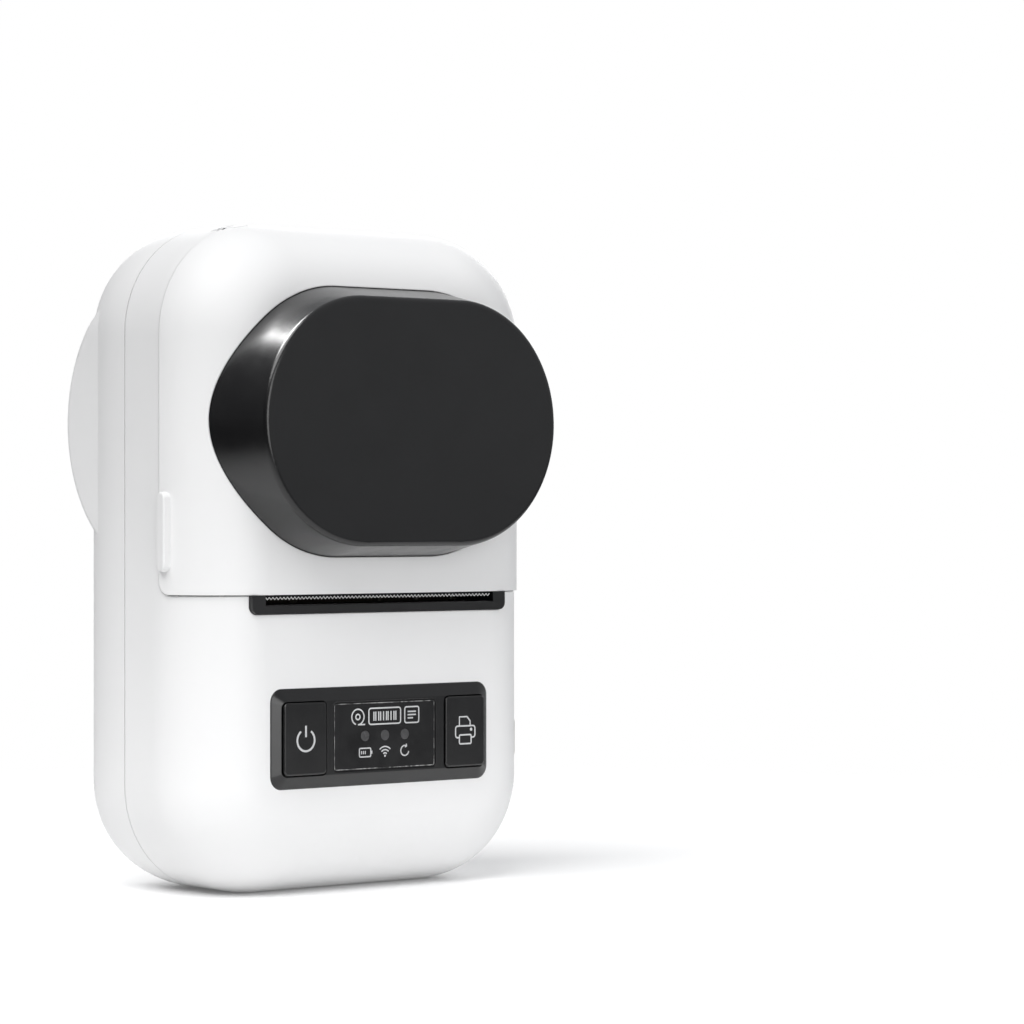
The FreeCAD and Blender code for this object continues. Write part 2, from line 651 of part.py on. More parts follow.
def control_bezel():
    face = -CASE_D / 2
    base = rounded_wire(PANEL_W, PANEL_H, PANEL_CORNER_R, face, 0, PANEL_Z)
    top = rounded_wire(PANEL_W - 2 * PANEL_CHAMFER, PANEL_H - 2 * PANEL_CHAMFER, PANEL_FACE_R,
                       panel_front_y(), 0, PANEL_Z)
    frame = Part.makeLoft([base, top], True, True)
    plug = rounded_panel(PANEL_W - 2 * PANEL_PLUG_INSET, PANEL_H - 2 * PANEL_PLUG_INSET,
                         PANEL_CORNER_R / 2, (face, face + PANEL_PLUG), 0, PANEL_Z)
    body = join(frame, plug)
    cuts = [rounded_panel(WINDOW_W + 2 * FIT, WINDOW_H + 2 * FIT, PANEL_FACE_R + FIT,
                          (-FAR, panel_front_y() + WINDOW_SINK + WINDOW_T), 0, PANEL_Z)]
    for x in LED_X:
        cuts.append(rod_y(LED_R + FIT, (-FAR, FAR), x, PANEL_Z))
    for x, width in zip(BUTTON_X, BUTTON_W):
        cuts.append(rounded_panel(width + 2 * BUTTON_GAP, BUTTON_H + 2 * BUTTON_GAP, BUTTON_R + BUTTON_GAP,
                                  (-FAR, FAR), x, PANEL_Z))
        grow = 2 * (BUTTON_FLANGE + BUTTON_GAP)
        cuts.append(rounded_panel(width + 2 * BUTTON_GAP, BUTTON_H + grow, BUTTON_R + BUTTON_GAP,
                                  (button_stop_y() - REST_GAP, FAR), x, PANEL_Z))
    return cut(body, *cuts)


def button(index):
    x = BUTTON_X[index]
    width = BUTTON_W[index]
    stop = button_stop_y()
    front = panel_front_y() - BUTTON_PROUD
    cap = rounded_panel(width, BUTTON_H, BUTTON_R, (front, stop + BUTTON_FLANGE_T), x, PANEL_Z)
    rim = [e for e in cap.Edges if e.BoundBox.YMax < front + 1e-4]
    cap = cap.makeFillet(BUTTON_EDGE_R, rim)
    lips = rounded_panel(width, BUTTON_H + 2 * BUTTON_FLANGE, BUTTON_R,
                         (stop, stop + BUTTON_FLANGE_T), x, PANEL_Z)
    stem = rod_y(BUTTON_STEM_R, (stop, plunger_front_y() - REST_GAP), x, PANEL_Z)
    return join(cap, lips, stem)


def power_button():
    return button(0)


def feed_button():
    return button(1)


def indicator_window():
    front = panel_front_y() + WINDOW_SINK
    return rounded_panel(WINDOW_W, WINDOW_H, PANEL_FACE_R, (front, front + WINDOW_T), 0, PANEL_Z)


def light_pipes():
    y_span = (panel_front_y() + WINDOW_SINK + WINDOW_T + REST_GAP, BOARD_Y - LED_SIZE[1] - FIT)
    return Part.makeCompound([rod_y(LED_R, y_span, x, PANEL_Z) for x in LED_X])


def status_leds():
    half = LED_SIZE[0] / 2
    y_span = (BOARD_Y - LED_SIZE[1], BOARD_Y)
    z_span = (PANEL_Z - half, PANEL_Z + half)
    return Part.makeCompound([block((x - half, x + half), y_span, z_span) for x in LED_X])


# --- electronics ------------------------------------------------------------------------
def plunger_front_y():
    return BOARD_Y - SWITCH_SIZE[1] - PLUNGER_OUT


def main_board():
    height = BOARD_Z[1] - BOARD_Z[0]
    middle = (BOARD_Z[0] + BOARD_Z[1]) / 2
    board = rounded_panel(2 * BOARD_HALF, height, BOARD_CORNER_R, (BOARD_Y, BOARD_Y + BOARD_T), 0, middle)
    holes = [rod_y(SMALL_SCREW_R + FIT, (-FAR, FAR), x, z) for x, z in board_hole_places()]
    return cut(board, *holes)


def key_switch(index):
    x = BUTTON_X[index]
    half = SWITCH_SIZE[0] / 2
    body = block((x - half, x + half), (BOARD_Y - SWITCH_SIZE[1], BOARD_Y), (PANEL_Z - half, PANEL_Z + half))
    well = rod_y(PLUNGER_R + RUNNING_FIT, (-FAR, BOARD_Y - WELL_FLOOR), x, PANEL_Z)
    return body.cut(well)


def switch_plunger(index):
    y_span = (plunger_front_y(), BOARD_Y - PLUNGER_FOOT)
    return rod_y(PLUNGER_R, y_span, BUTTON_X[index], PANEL_Z)


def power_switch():
    return key_switch(0)


def feed_switch():
    return key_switch(1)


def power_switch_plunger():
    return switch_plunger(0)


def feed_switch_plunger():
    return switch_plunger(1)


def usb_socket():
    shell = usb_place(0)
    x_span = (USB_END_X - USB_LONG + USB_BACK, FAR)
    y = BOARD_Y + BOARD_T + USB_H / 2
    radius = USB_H / 2 - USB_WALL
    reach = (USB_W - USB_H) / 2
    mouth = join(block(x_span, (y - radius, y + radius), (USB_Z - reach, USB_Z + reach)),
                 *[rod_x(radius, x_span, y, USB_Z + side * reach) for side in (-1, 1)])
    thick, wide, long = USB_BLADE
    root = USB_END_X - USB_LONG + USB_BLADE_ROOT
    blade = block((root, root + long), (y - thick / 2, y + thick / 2), (USB_Z - wide / 2, USB_Z + wide / 2))
    return join(shell.cut(mouth), blade)


def board_chip(x_span, z_span, height):
    back = BOARD_Y + BOARD_T
    return block(x_span, (back, back + height), z_span)


def controller_chip():
    return board_chip(*CONTROLLER)


def radio_module():
    return board_chip(*RADIO)


def head_connector():
    return board_chip(*HEAD_PLUG)


def motor_connector():
    return board_chip(*MOTOR_PLUG)


def battery():
    width, depth, height = BATTERY
    cell = block((-width / 2, width / 2), (BATTERY_Y, BATTERY_Y + depth), (BATTERY_Z, BATTERY_Z + height))
    along = [e for e in cell.Edges if e.tangentAt(e.FirstParameter).cross(Vector(1, 0, 0)).Length < 1e-6]
    return cell.makeFillet(BATTERY_R, along)


# --- bay --------------------------------------------------------------------------------
def holder_slot(radius, x_span):
    """The path of a holder pin from its seat to the open front."""
    rise = math.radians(HOLDER_SLOT_RISE)
    ahead = Vector(0, -math.cos(rise), math.sin(rise))
    across = Vector(0, math.sin(rise), math.cos(rise)) * radius
    seat = Vector(0, BAY_Y, BAY_Z)
    ahead = ahead * HOLDER_SLOT_LONG
    ends = [seat - across, seat + across, seat + across + ahead, seat - across + ahead]
    path = prism_x([(p.y, p.z) for p in ends], x_span)
    return join(rod_x(radius, x_span, BAY_Y, BAY_Z), path)


def inner_frame():
    deck_back = LID_SEAM_Y + PART_GAP + FIT + DECK_T
    deck_y = (deck_back - DECK_T, deck_back)
    deck_z = (LID_BOTTOM_Z + PART_GAP, HINGE_Z - HINGE_NOSE_R - 2 * PART_GAP)
    deck = casing_form(WALL + 2 * FIT).common(block((-FAR, FAR), deck_y, deck_z))
    outside = TUB_HALF + CHEEK_T
    drum = rod_x(TUB_R + TUB_T, (-outside, outside), BAY_Y, BAY_Z).common(behind(deck_y[0]))
    body = join(deck, drum)
    room = rod_x(TUB_R, (-TUB_HALF, TUB_HALF), BAY_Y, BAY_Z)
    pins = holder_slot(HOLDER_PIN_R + HOLDER_SLOT_CLEAR, (-outside - 1, outside + 1))
    gate = block((-CHASSIS_HALF - FIT, CHASSIS_HALF + FIT), PAPER_GATE_Y, (0, BAY_Z))
    mech = block((-MECH_HALF, MECH_HALF), (-FAR, PAPER_GATE_Y[1] + PART_GAP), (0, PLATEN_HOLDER_Z[1]))
    return cut(body, room, pins, gate, mech)


def flange(x, bore, x_sign):
    x_span = sorted((x, x + x_sign * FLANGE_T))
    disc = rod_x(FLANGE_R, x_span, BAY_Y, BAY_Z)
    band = block((x_span[0] - 1, x_span[1] + 1), (BAY_Y - 2 * FLANGE_R, BAY_Y + 2 * FLANGE_R),
                 (BAY_Z - FLANGE_FLAT, BAY_Z + FLANGE_FLAT))
    disc = disc.common(band)
    disc = disc.makeFillet(FLANGE_EDGE_R, [e for e in disc.Edges if e.BoundBox.XLength < 1e-6])
    return disc.cut(rod_x(bore, (-FAR, FAR), BAY_Y, BAY_Z))


def roll_spindle():
    end = ROLL_W / 2 + FLANGE_T
    body = rod_x(HOLDER_BODY_R, (-end, end), BAY_Y, BAY_Z)
    pins = rod_x(HOLDER_PIN_R, (-HOLDER_END, HOLDER_END), BAY_Y, BAY_Z)
    rims = [e for e in pins.Edges if e.isClosed()]
    spindle = join(body, pins.makeFillet(HOLDER_PIN_EDGE_R, rims))
    cuts = []
    for side in (-1, 1):
        x_span = sorted((side * WINDOW_GAP / 2, side * (WINDOW_GAP / 2 + WINDOW_LONG)))
        cuts.append(block(x_span, (-FAR, FAR), (BAY_Z - WINDOW_WIDE / 2, BAY_Z + WINDOW_WIDE / 2)))
    return cut(spindle, *cuts)


def fixed_flange():
    return flange(-ROLL_W / 2, HOLDER_BODY_R, -1)


def sliding_flange():
    return flange(ROLL_W / 2, HOLDER_BODY_R + SLIDING_FIT, 1)


# --- print mechanism --------------------------------------------------------------------
def head_point(along, off):
    """A (y, z) point by its distance up the head plate and its distance from the roller."""
    tilt = math.radians(HEAD_TILT)
    out = (math.cos(tilt), -math.sin(tilt))
    up = (math.sin(tilt), math.cos(tilt))
    reach = PLATEN_R + off
    return (PLATEN_Y + out[0] * reach + up[0] * along, PLATEN_Z + out[1] * reach + up[1] * along)


def head_slab(along_span, off_span, x_span):
    corners = [(along_span[0], off_span[0]), (along_span[1], off_span[0]),
               (along_span[1], off_span[1]), (along_span[0], off_span[1])]
    return prism_x([head_point(a, o) for a, o in corners], x_span)


def print_head():
    return head_slab(HEAD_LONG, (LABEL_GAP, LABEL_GAP + HEAD_T), (-HEAD_HALF, HEAD_HALF))


def pivot_place():
    return head_point(PIVOT_ALONG, LABEL_GAP + HEAD_T + SINK_T / 2)


def heat_sink():
    near = LABEL_GAP + HEAD_T
    y, z = pivot_place()
    plate = head_slab(SINK_LONG, (near, near + SINK_T), (-HEAD_HALF, HEAD_HALF))
    adds = []
    for side in (-1, 1):
        x_span = sorted((side * (HEAD_HALF - SINK_EAR_W), side * HEAD_HALF))
        adds.append(rod_x(PIVOT_EYE_R, x_span, y, z))
        adds.append(head_slab((SINK_LONG[1] - 0.5, PIVOT_ALONG), (near, near + SINK_T), x_span))
    return join(plate, *adds).cut(rod_x(PIVOT_R + RUNNING_FIT, (-FAR, FAR), y, z))


def head_pivot_pin():
    y, z = pivot_place()
    return rod_x(PIVOT_R, (-CHASSIS_HALF, CHASSIS_HALF), y, z)


def head_springs():
    near = LABEL_GAP + HEAD_T + SINK_T
    length = SPRING_BED - near
    tilt = math.radians(HEAD_TILT)
    pitch = (length - 2 * SPRING_WIRE_R) / SPRING_TURNS
    helix = Part.makeHelix(pitch, length - 2 * SPRING_WIRE_R, SPRING_R)
    start = helix.Edges[0].valueAt(helix.Edges[0].FirstParameter)
    ring = Part.Wire(Part.makeCircle(SPRING_WIRE_R, start, Vector(0, 1, pitch / (2 * math.pi * SPRING_R))))
    coil = helix.makePipeShell([ring], True, True)
    springs = []
    for side in (-1, 1):
        y, z = head_point(SPRING_ALONG, near + SPRING_WIRE_R)
        turned = coil.copy()
        turned.rotate(Vector(0, 0, 0), Vector(1, 0, 0), -90 - HEAD_TILT)
        turned.translate(Vector(side * SPRING_X, y, z))
        springs.append(turned)
    return Part.makeCompound(springs)


def gear_places():
    """Axes (y, z) of the idler, the reduction wheel and the motor."""
    arm = (PLATEN_Y - HINGE_Y, PLATEN_Z - HINGE_Z)
    span = math.hypot(*arm)
    reach = (IDLER_TEETH + PLATEN_TEETH) * COARSE / 2
    idler = (PLATEN_Y - arm[1] / span * reach, PLATEN_Z + arm[0] / span * reach)
    reach = (IDLER_TEETH + SMALL_TEETH) * COARSE / 2
    wheel = (idler[0] + reach * math.cos(WHEEL_DIR), idler[1] + reach * math.sin(WHEEL_DIR))
    reach = (WHEEL_TEETH + MOTOR_TEETH) * FINE / 2
    motor = (wheel[0] + reach * math.cos(MOTOR_DIR), wheel[1] + reach * math.sin(MOTOR_DIR))
    return idler, wheel, motor


def direction(a, b):
    return math.atan2(b[1] - a[1], b[0] - a[0])


def meshed_phase(driver, driver_teeth, driver_phase, other, other_teeth):
    """Angle of one tooth of the other gear that puts its gap on the driver's tooth."""
    lead = driver_phase - direction(driver, other)
    back = direction(other, driver)
    return back - lead * driver_teeth / other_teeth + math.pi / other_teeth


def gear(teeth, module, phase, centre, x_span, bore):
    """A spur gear with involute flanks; one tooth is centred on the phase angle."""
    pitch_r = teeth * module / 2
    base_r = pitch_r * math.cos(PRESSURE_ANGLE)
    tip_r = pitch_r + ADDENDUM * module
    root_r = pitch_r - DEDENDUM * module
    pitch_half = math.pi / (2 * teeth) - BACKLASH / (2 * pitch_r)
    involute = math.tan(PRESSURE_ANGLE) - PRESSURE_ANGLE
    low_r = max(base_r, root_r)

    def half_angle(radius):
        alpha = math.acos(min(1.0, base_r / radius))
        return pitch_half + involute - math.tan(alpha) + alpha

    def spot(radius, angle):
        return Vector(x_span[0], centre[0] + radius * math.cos(angle), centre[1] + radius * math.sin(angle))

    steps = 5
    radii = [low_r + (tip_r - low_r) * i / steps for i in range(steps + 1)]
    edges = []
    for i in range(teeth):
        mid = phase + 2 * math.pi * i / teeth
        next_mid = mid + 2 * math.pi / teeth
        rising = [spot(r, mid - half_angle(r)) for r in radii]
        falling = [spot(r, mid + half_angle(r)) for r in reversed(radii)]
        for flank in (rising, falling):
            curve = Part.BSplineCurve()
            curve.interpolate(flank)
            edges.append(curve.toShape())
        edges.append(Part.Arc(rising[-1], spot(tip_r, mid), falling[0]).toShape())
        foot = spot(root_r, mid + half_angle(low_r))
        next_foot = spot(root_r, next_mid - half_angle(low_r))
        edges.append(Part.Arc(foot, spot(root_r, (mid + next_mid) / 2), next_foot).toShape())
        if low_r > root_r + 1e-6:
            edges.append(Part.makeLine(falling[-1], foot))
            edges.append(Part.makeLine(next_foot, spot(low_r, next_mid - half_angle(low_r))))
    outline = Part.Wire(Part.__sortEdges__(edges))
    blank = Part.Face(outline).extrude(Vector(x_span[1] - x_span[0], 0, 0))
    return blank.cut(rod_x(bore, (-FAR, FAR), *centre))


def gear_phases():
    idler, wheel, motor = gear_places()
    platen = (PLATEN_Y, PLATEN_Z)
    platen_phase = direction(platen, idler)
    idler_phase = meshed_phase(platen, PLATEN_TEETH, platen_phase, idler, IDLER_TEETH)
    wheel_phase = meshed_phase(idler, IDLER_TEETH, idler_phase, wheel, SMALL_TEETH)
    motor_phase = meshed_phase(wheel, WHEEL_TEETH, wheel_phase, motor, MOTOR_TEETH)
    return platen_phase, idler_phase, wheel_phase, motor_phase


def platen_gear():
    return gear(PLATEN_TEETH, COARSE, gear_phases()[0], (PLATEN_Y, PLATEN_Z), COARSE_X, SHAFT_R)


def idler_gear():
    return gear(IDLER_TEETH, COARSE, gear_phases()[1], gear_places()[0], COARSE_X, GEAR_PIN_R + RUNNING_FIT)


def reduction_gear():
    place = gear_places()[1]
    phase = gear_phases()[2]
    bore = GEAR_PIN_R + RUNNING_FIT
    small = gear(SMALL_TEETH, COARSE, phase, place, (COARSE_X[0], FINE_X[0] + PIN_END), bore)
    wheel = gear(WHEEL_TEETH, FINE, phase, place, FINE_X, bore)
    return join(small, wheel)


def motor_pinion():
    return gear(MOTOR_TEETH, FINE, gear_phases()[3], gear_places()[2], FINE_X, MOTOR_SHAFT_R)


def gear_pins():
    idler, wheel, _ = gear_places()
    root = CHASSIS_HALF - CHASSIS_T
    return Part.makeCompound([rod_x(GEAR_PIN_R, (root, COARSE_X[1] + PIN_END), *idler),
                              rod_x(GEAR_PIN_R, (root, FINE_X[1] + 2 * PIN_END), *wheel)])


def motor():
    centre = gear_places()[2]
    can = rod_x(MOTOR_R, MOTOR_X, *centre)
    rims = [e for e in can.Edges if e.isClosed() and e.CenterOfMass.x < MOTOR_X[0] + FIT]
    boss = rod_x(MOTOR_BOSS[0], (MOTOR_X[1], MOTOR_X[1] + MOTOR_BOSS[1]), *centre)
    bore = rod_x(MOTOR_SHAFT_R + RUNNING_FIT, (MOTOR_X[0] + MOTOR_SHAFT_IN - WASHER_ROOM, FAR), *centre)
    return join(can.makeFillet(MOTOR_EDGE_R, rims), boss).cut(bore)


def motor_shaft():
    return rod_x(MOTOR_SHAFT_R, (MOTOR_X[0] + MOTOR_SHAFT_IN, FINE_X[1] + PIN_END), *gear_places()[2])


def chassis():
    inner = CHASSIS_HALF - CHASSIS_T
    back = CHASSIS_BACK_Y + CHASSIS_BACK_T
    outline = [*CHEEK_FRONT, (back, CHASSIS_Z[1]), (back, CHASSIS_Z[0]), (CHEEK_FOOT_Y, CHASSIS_Z[0])]
    cheeks = [prism_x(outline, sorted((side * inner, side * CHASSIS_HALF))) for side in (-1, 1)]
    wall = block((-inner, inner), (CHASSIS_BACK_Y, back), CHASSIS_Z)
    bed = head_slab(BED_LONG, (SPRING_BED, SPRING_BED + BED_T), (-inner, inner))
    body = join(cheeks[0], cheeks[1], wall, bed)
    idler, wheel, motor_axis = gear_places()
    cuts = [rod_x(FLANGE_R + PART_GAP, (-FAR, FAR), BAY_Y, BAY_Z)]
    cuts.append(rod_x(PIVOT_R, (-FAR, FAR), *pivot_place()))
    cuts.append(rod_x(MOTOR_BOSS[0] + FIT, (0, FAR), *motor_axis))
    cuts += [rod_x(GEAR_PIN_R, (0, FAR), *idler), rod_x(GEAR_PIN_R, (0, FAR), *wheel)]
    for x, z in chassis_screw_places():
        cuts.append(rod_y(SMALL_SCREW_R + FIT, (CHASSIS_BACK_Y - FIT, FAR), x, z))
    return cut(body, *cuts)


def platen_shaft():
    return rod_x(SHAFT_R, (-BUSH_X[1] - SHAFT_END, COARSE_X[1] + PIN_END), PLATEN_Y, PLATEN_Z)


def platen_roller():
    tube = rod_x(PLATEN_R, (-PLATEN_HALF, PLATEN_HALF), PLATEN_Y, PLATEN_Z)
    return tube.cut(rod_x(SHAFT_R, (-FAR, FAR), PLATEN_Y, PLATEN_Z))


def platen_bushings():
    bush = rod_x(BUSH_R, BUSH_X, PLATEN_Y, PLATEN_Z)
    bush = bush.cut(rod_x(SHAFT_R + RUNNING_FIT, (0, FAR), PLATEN_Y, PLATEN_Z))
    return Part.makeCompound(both_sides(bush))


def platen_holder():
    front = platen_holder_y()
    depth = (front[0], PLATEN_HOLDER_BACK_Y)
    wing_x, wing_z = PLATEN_WING
    top = PLATEN_HOLDER_Z[1]
    ears = []
    for side in (-1, 1):
        ears.append(block(sorted((side * BUSH_X[0], side * BUSH_X[1])), depth, PLATEN_HOLDER_Z))
        ears.append(block(sorted((side * BUSH_X[0], side * wing_x)), front, wing_z))
    wall = block((-BUSH_X[0], BUSH_X[0]), front, PLATEN_HOLDER_Z)
    roof = block((-BUSH_X[0], BUSH_X[0]), depth, (top - PLATEN_HOLDER_T, top))
    body = join(wall, roof, *ears)
    cuts = [rod_x(BUSH_R, (-FAR, FAR), PLATEN_Y, PLATEN_Z)]
    for x, z in holder_boss_places():
        cuts.append(rod_y(SMALL_SCREW_R + FIT, (-FAR, FAR), x, z))
    return cut(body, *cuts).common(casing_form(WALL + FIT, LID_PROUD))


def gap_sensor():
    """The reflective sensor that watches for the gaps between labels, beside the head's ceramic."""
    return head_slab(SENSOR_LONG, (LABEL_GAP, LABEL_GAP + HEAD_T), (-SENSOR_HALF, SENSOR_HALF))


# --- screws -----------------------------------------------------------------------------
def screw(x, z, under_head_y, length, shank_r, head_r, head_t, facing):
    """A cross-recessed screw along Y; facing is the way its head points."""
    head = rod_y(head_r, sorted((under_head_y, under_head_y + facing * head_t)), x, z)
    shank = rod_y(shank_r, sorted((under_head_y, under_head_y - facing * length)), x, z)
    top = under_head_y + facing * head_t
    deep = sorted((top + facing, top - facing * head_t * CROSS_DEEP))
    arm = head_r * CROSS_SHARE
    half = CROSS_W / 2
    recess = [block((x - arm, x + arm), deep, (z - half, z + half)),
              block((x - half, x + half), deep, (z - arm, z + arm))]
    return cut(join(head, shank), *recess)


def casing_screws():
    length = CASE_SCREW_SEAT_Y - REAR_SEAM_Y + CASE_SCREW_BITE
    return Part.makeCompound([
        screw(x, z, CASE_SCREW_SEAT_Y, length, CASE_SCREW_R, CASE_SCREW_HEAD_R, CASE_SCREW_HEAD_T, 1)
        for x, z in case_screw_places()])


def board_screws():
    length = BOARD_T + BOARD_SCREW_BITE
    return Part.makeCompound([
        screw(x, z, BOARD_Y + BOARD_T, length, SMALL_SCREW_R, SMALL_HEAD_R, SMALL_HEAD_T, 1)
        for x, z in board_hole_places()])


def chassis_screws():
    length = CHASSIS_BACK_T + CHASSIS_SCREW_BITE
    return Part.makeCompound([
        screw(x, z, CHASSIS_BACK_Y, length, SMALL_SCREW_R, SMALL_HEAD_R, SMALL_HEAD_T, -1)
        for x, z in chassis_screw_places()])


def platen_holder_screws():
    length = PLATEN_HOLDER_T + HOLDER_SCREW_BITE
    return Part.makeCompound([
        screw(x, z, platen_holder_y()[1], length, SMALL_SCREW_R, SMALL_HEAD_R, SMALL_HEAD_T, 1)
        for x, z in holder_boss_places()])


SUB_PARTS = (
    rear_shell, front_shell, lid, roll_cover, hinge_pin, exit_trim, tear_bar,
    control_bezel, power_button, feed_button, indicator_window, light_pipes, status_leds,
    main_board, power_switch, feed_switch, power_switch_plunger, feed_switch_plunger,
    usb_socket, controller_chip, radio_module, head_connector, motor_connector, battery,
    inner_frame, roll_spindle, fixed_flange, sliding_flange,
    chassis, print_head, heat_sink, head_pivot_pin, head_springs,
    platen_roller, platen_shaft, platen_bushings, platen_holder, platen_gear,
    idler_gear, reduction_gear, gear_pins, motor, motor_shaft, motor_pinion, gap_sensor,
    casing_screws, board_screws, chassis_screws, platen_holder_screws,
)


def main():
    os.makedirs("parts", exist_ok=True)
    for make in SUB_PARTS:
        shape = make()
        shape.exportStep(f"parts/{make.__name__}.step")
        solids = shape.Solids
        volume = sum(s.Volume for s in solids)
        print(f"{make.__name__}: {len(solids)} solid(s), {volume:.1f} mm3, valid {shape.isValid()}")


main()
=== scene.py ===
# %% [markdown]
# # A pocket label printer, finished in Blender
# The solid model already gives every piece its real size and place, in metres, so this lesson only adds
# the looks: softened edges where the eye rests, the small printed signs, and a material for each finish.
# Signs and blade are placed from the frame's own boxes, and only small offsets from them are typed in.

# %% Load the frame
import json
import math

import bmesh
import bpy
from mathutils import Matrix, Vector


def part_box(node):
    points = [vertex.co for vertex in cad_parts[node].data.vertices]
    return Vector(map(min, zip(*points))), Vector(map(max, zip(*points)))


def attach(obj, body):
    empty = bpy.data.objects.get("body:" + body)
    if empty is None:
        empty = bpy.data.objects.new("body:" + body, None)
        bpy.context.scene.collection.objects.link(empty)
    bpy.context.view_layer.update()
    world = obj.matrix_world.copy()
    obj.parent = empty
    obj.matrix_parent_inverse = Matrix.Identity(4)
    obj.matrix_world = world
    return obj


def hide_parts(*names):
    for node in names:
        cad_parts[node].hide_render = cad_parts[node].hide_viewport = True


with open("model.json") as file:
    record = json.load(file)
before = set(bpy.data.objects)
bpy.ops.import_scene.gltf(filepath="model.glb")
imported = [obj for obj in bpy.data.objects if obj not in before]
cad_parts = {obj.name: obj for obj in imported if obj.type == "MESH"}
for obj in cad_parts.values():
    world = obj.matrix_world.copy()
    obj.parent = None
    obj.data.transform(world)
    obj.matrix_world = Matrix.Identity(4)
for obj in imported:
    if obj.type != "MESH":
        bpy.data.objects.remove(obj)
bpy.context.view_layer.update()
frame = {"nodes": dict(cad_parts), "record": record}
nodes = frame["nodes"]
MM = 0.001
print("pieces from the frame:", len(nodes))


# %% [markdown]
# ## The studio
# A small white product is shown on a pale table under large soft lights: soft light keeps the roundings
# readable, and a bright surround gives glossy black plastic something to mirror. The camera stands
# level with the middle of the casing, about forty degrees round from the front, with a long lens.

# %% Camera
CAMERA_TURN = math.radians(40.46)   # how far round from the front, towards the left side
CAMERA_FAR = 0.70653                # from the origin's plane, along the view
CAMERA_SIDE = 0.03795               # sideways, so that the printer stands left of the middle
CAMERA_HEIGHT = 0.07124
FOCAL_IN_WIDTHS = 3.5905            # focal length as a share of the sensor's width
SENSOR_MM = 36.0


def make_camera():
    ahead = Vector((math.sin(CAMERA_TURN), math.cos(CAMERA_TURN), 0))
    aside = Vector((math.cos(CAMERA_TURN), -math.sin(CAMERA_TURN), 0))
    data = bpy.data.cameras.new("product_camera")
    data.sensor_width = SENSOR_MM
    data.lens = FOCAL_IN_WIDTHS * SENSOR_MM
    data.clip_end = 20
    camera = bpy.data.objects.new("product_camera", data)
    bpy.context.scene.collection.objects.link(camera)
    camera.location = -CAMERA_FAR * ahead + CAMERA_SIDE * aside + Vector((0, 0, CAMERA_HEIGHT))
    camera.rotation_euler = (math.pi / 2, 0, -CAMERA_TURN)
    bpy.context.scene.camera = camera
    return camera


camera = make_camera()
bpy.context.scene.view_settings.view_transform = "Standard"
print("camera lens in mm:", round(camera.data.lens, 1))


# %% Colour and node helpers
def srgb(code, alpha=1.0):
    """A colour as written on a swatch, such as #F4F4F3, turned to the linear light that shaders use."""
    parts = [int(code[i:i + 2], 16) / 255 for i in (1, 3, 5)]
    return tuple(c / 12.92 if c <= 0.04045 else ((c + 0.055) / 1.055) ** 2.4 for c in parts) + (alpha,)


def add(tree, kind, settings=None, links=None):
    """Adds one node, sets its properties or sockets, and links sockets to it."""
    node = tree.nodes.new(kind)
    for key, value in (settings or {}).items():
        if isinstance(key, str) and hasattr(node, key):
            setattr(node, key, value)
        else:
            node.inputs[key].default_value = value
    for key, source in (links or {}).items():
        tree.links.new(source, node.inputs[key])
    return node


# %% Table, surround and lights
TABLE_R = 0.34
TABLE_FADES_FROM = 0.10     # from here out it melts away, so that no edge of it shows in the gloss
TABLE_GLOW = 0.05           # a light table: it glows a little, which keeps it as white as the backdrop
ROOM_LEFT = "#3C3C3E"       # the unlit side of the studio
ROOM_RIGHT = "#B8B9BB"      # its pale walls
UNDER_TABLE = 0.40          # brightness of the room below table height, as a share
BACKDROP = "#FFFFFF"


def make_table():
    bm = bmesh.new()
    bmesh.ops.create_circle(bm, cap_ends=True, segments=96, radius=TABLE_R)
    mesh = bpy.data.meshes.new("light_table")
    bm.to_mesh(mesh)
    bm.free()
    table = bpy.data.objects.new("light_table", mesh)
    bpy.context.scene.collection.objects.link(table)
    matter = bpy.data.materials.new("white_opal_acrylic_table")
    matter.use_nodes = True
    shader = matter.node_tree.nodes["Principled BSDF"]
    shader.inputs["Base Color"].default_value = srgb("#F7F7F7")
    shader.inputs["Roughness"].default_value = 0.8
    shader.inputs["Specular IOR Level"].default_value = 0.1
    shader.inputs["Emission Color"].default_value = srgb("#FFFFFF")
    shader.inputs["Emission Strength"].default_value = TABLE_GLOW
    tree = matter.node_tree
    place = add(tree, "ShaderNodeTexCoord")
    reach = add(tree, "ShaderNodeVectorMath", {"operation": "LENGTH"}, {"Vector": place.outputs["Object"]})
    fade = add(tree, "ShaderNodeMapRange", {"interpolation_type": "SMOOTHSTEP", "From Min": TABLE_FADES_FROM,
                                            "From Max": TABLE_R}, {"Value": reach.outputs["Value"]})
    clear = add(tree, "ShaderNodeBsdfTransparent")
    both = add(tree, "ShaderNodeMixShader", None,
               {0: fade.outputs[0], 1: shader.outputs[0], 2: clear.outputs[0]})
    tree.links.new(both.outputs[0], tree.nodes["Material Output"].inputs["Surface"])
    mesh.materials.append(matter)


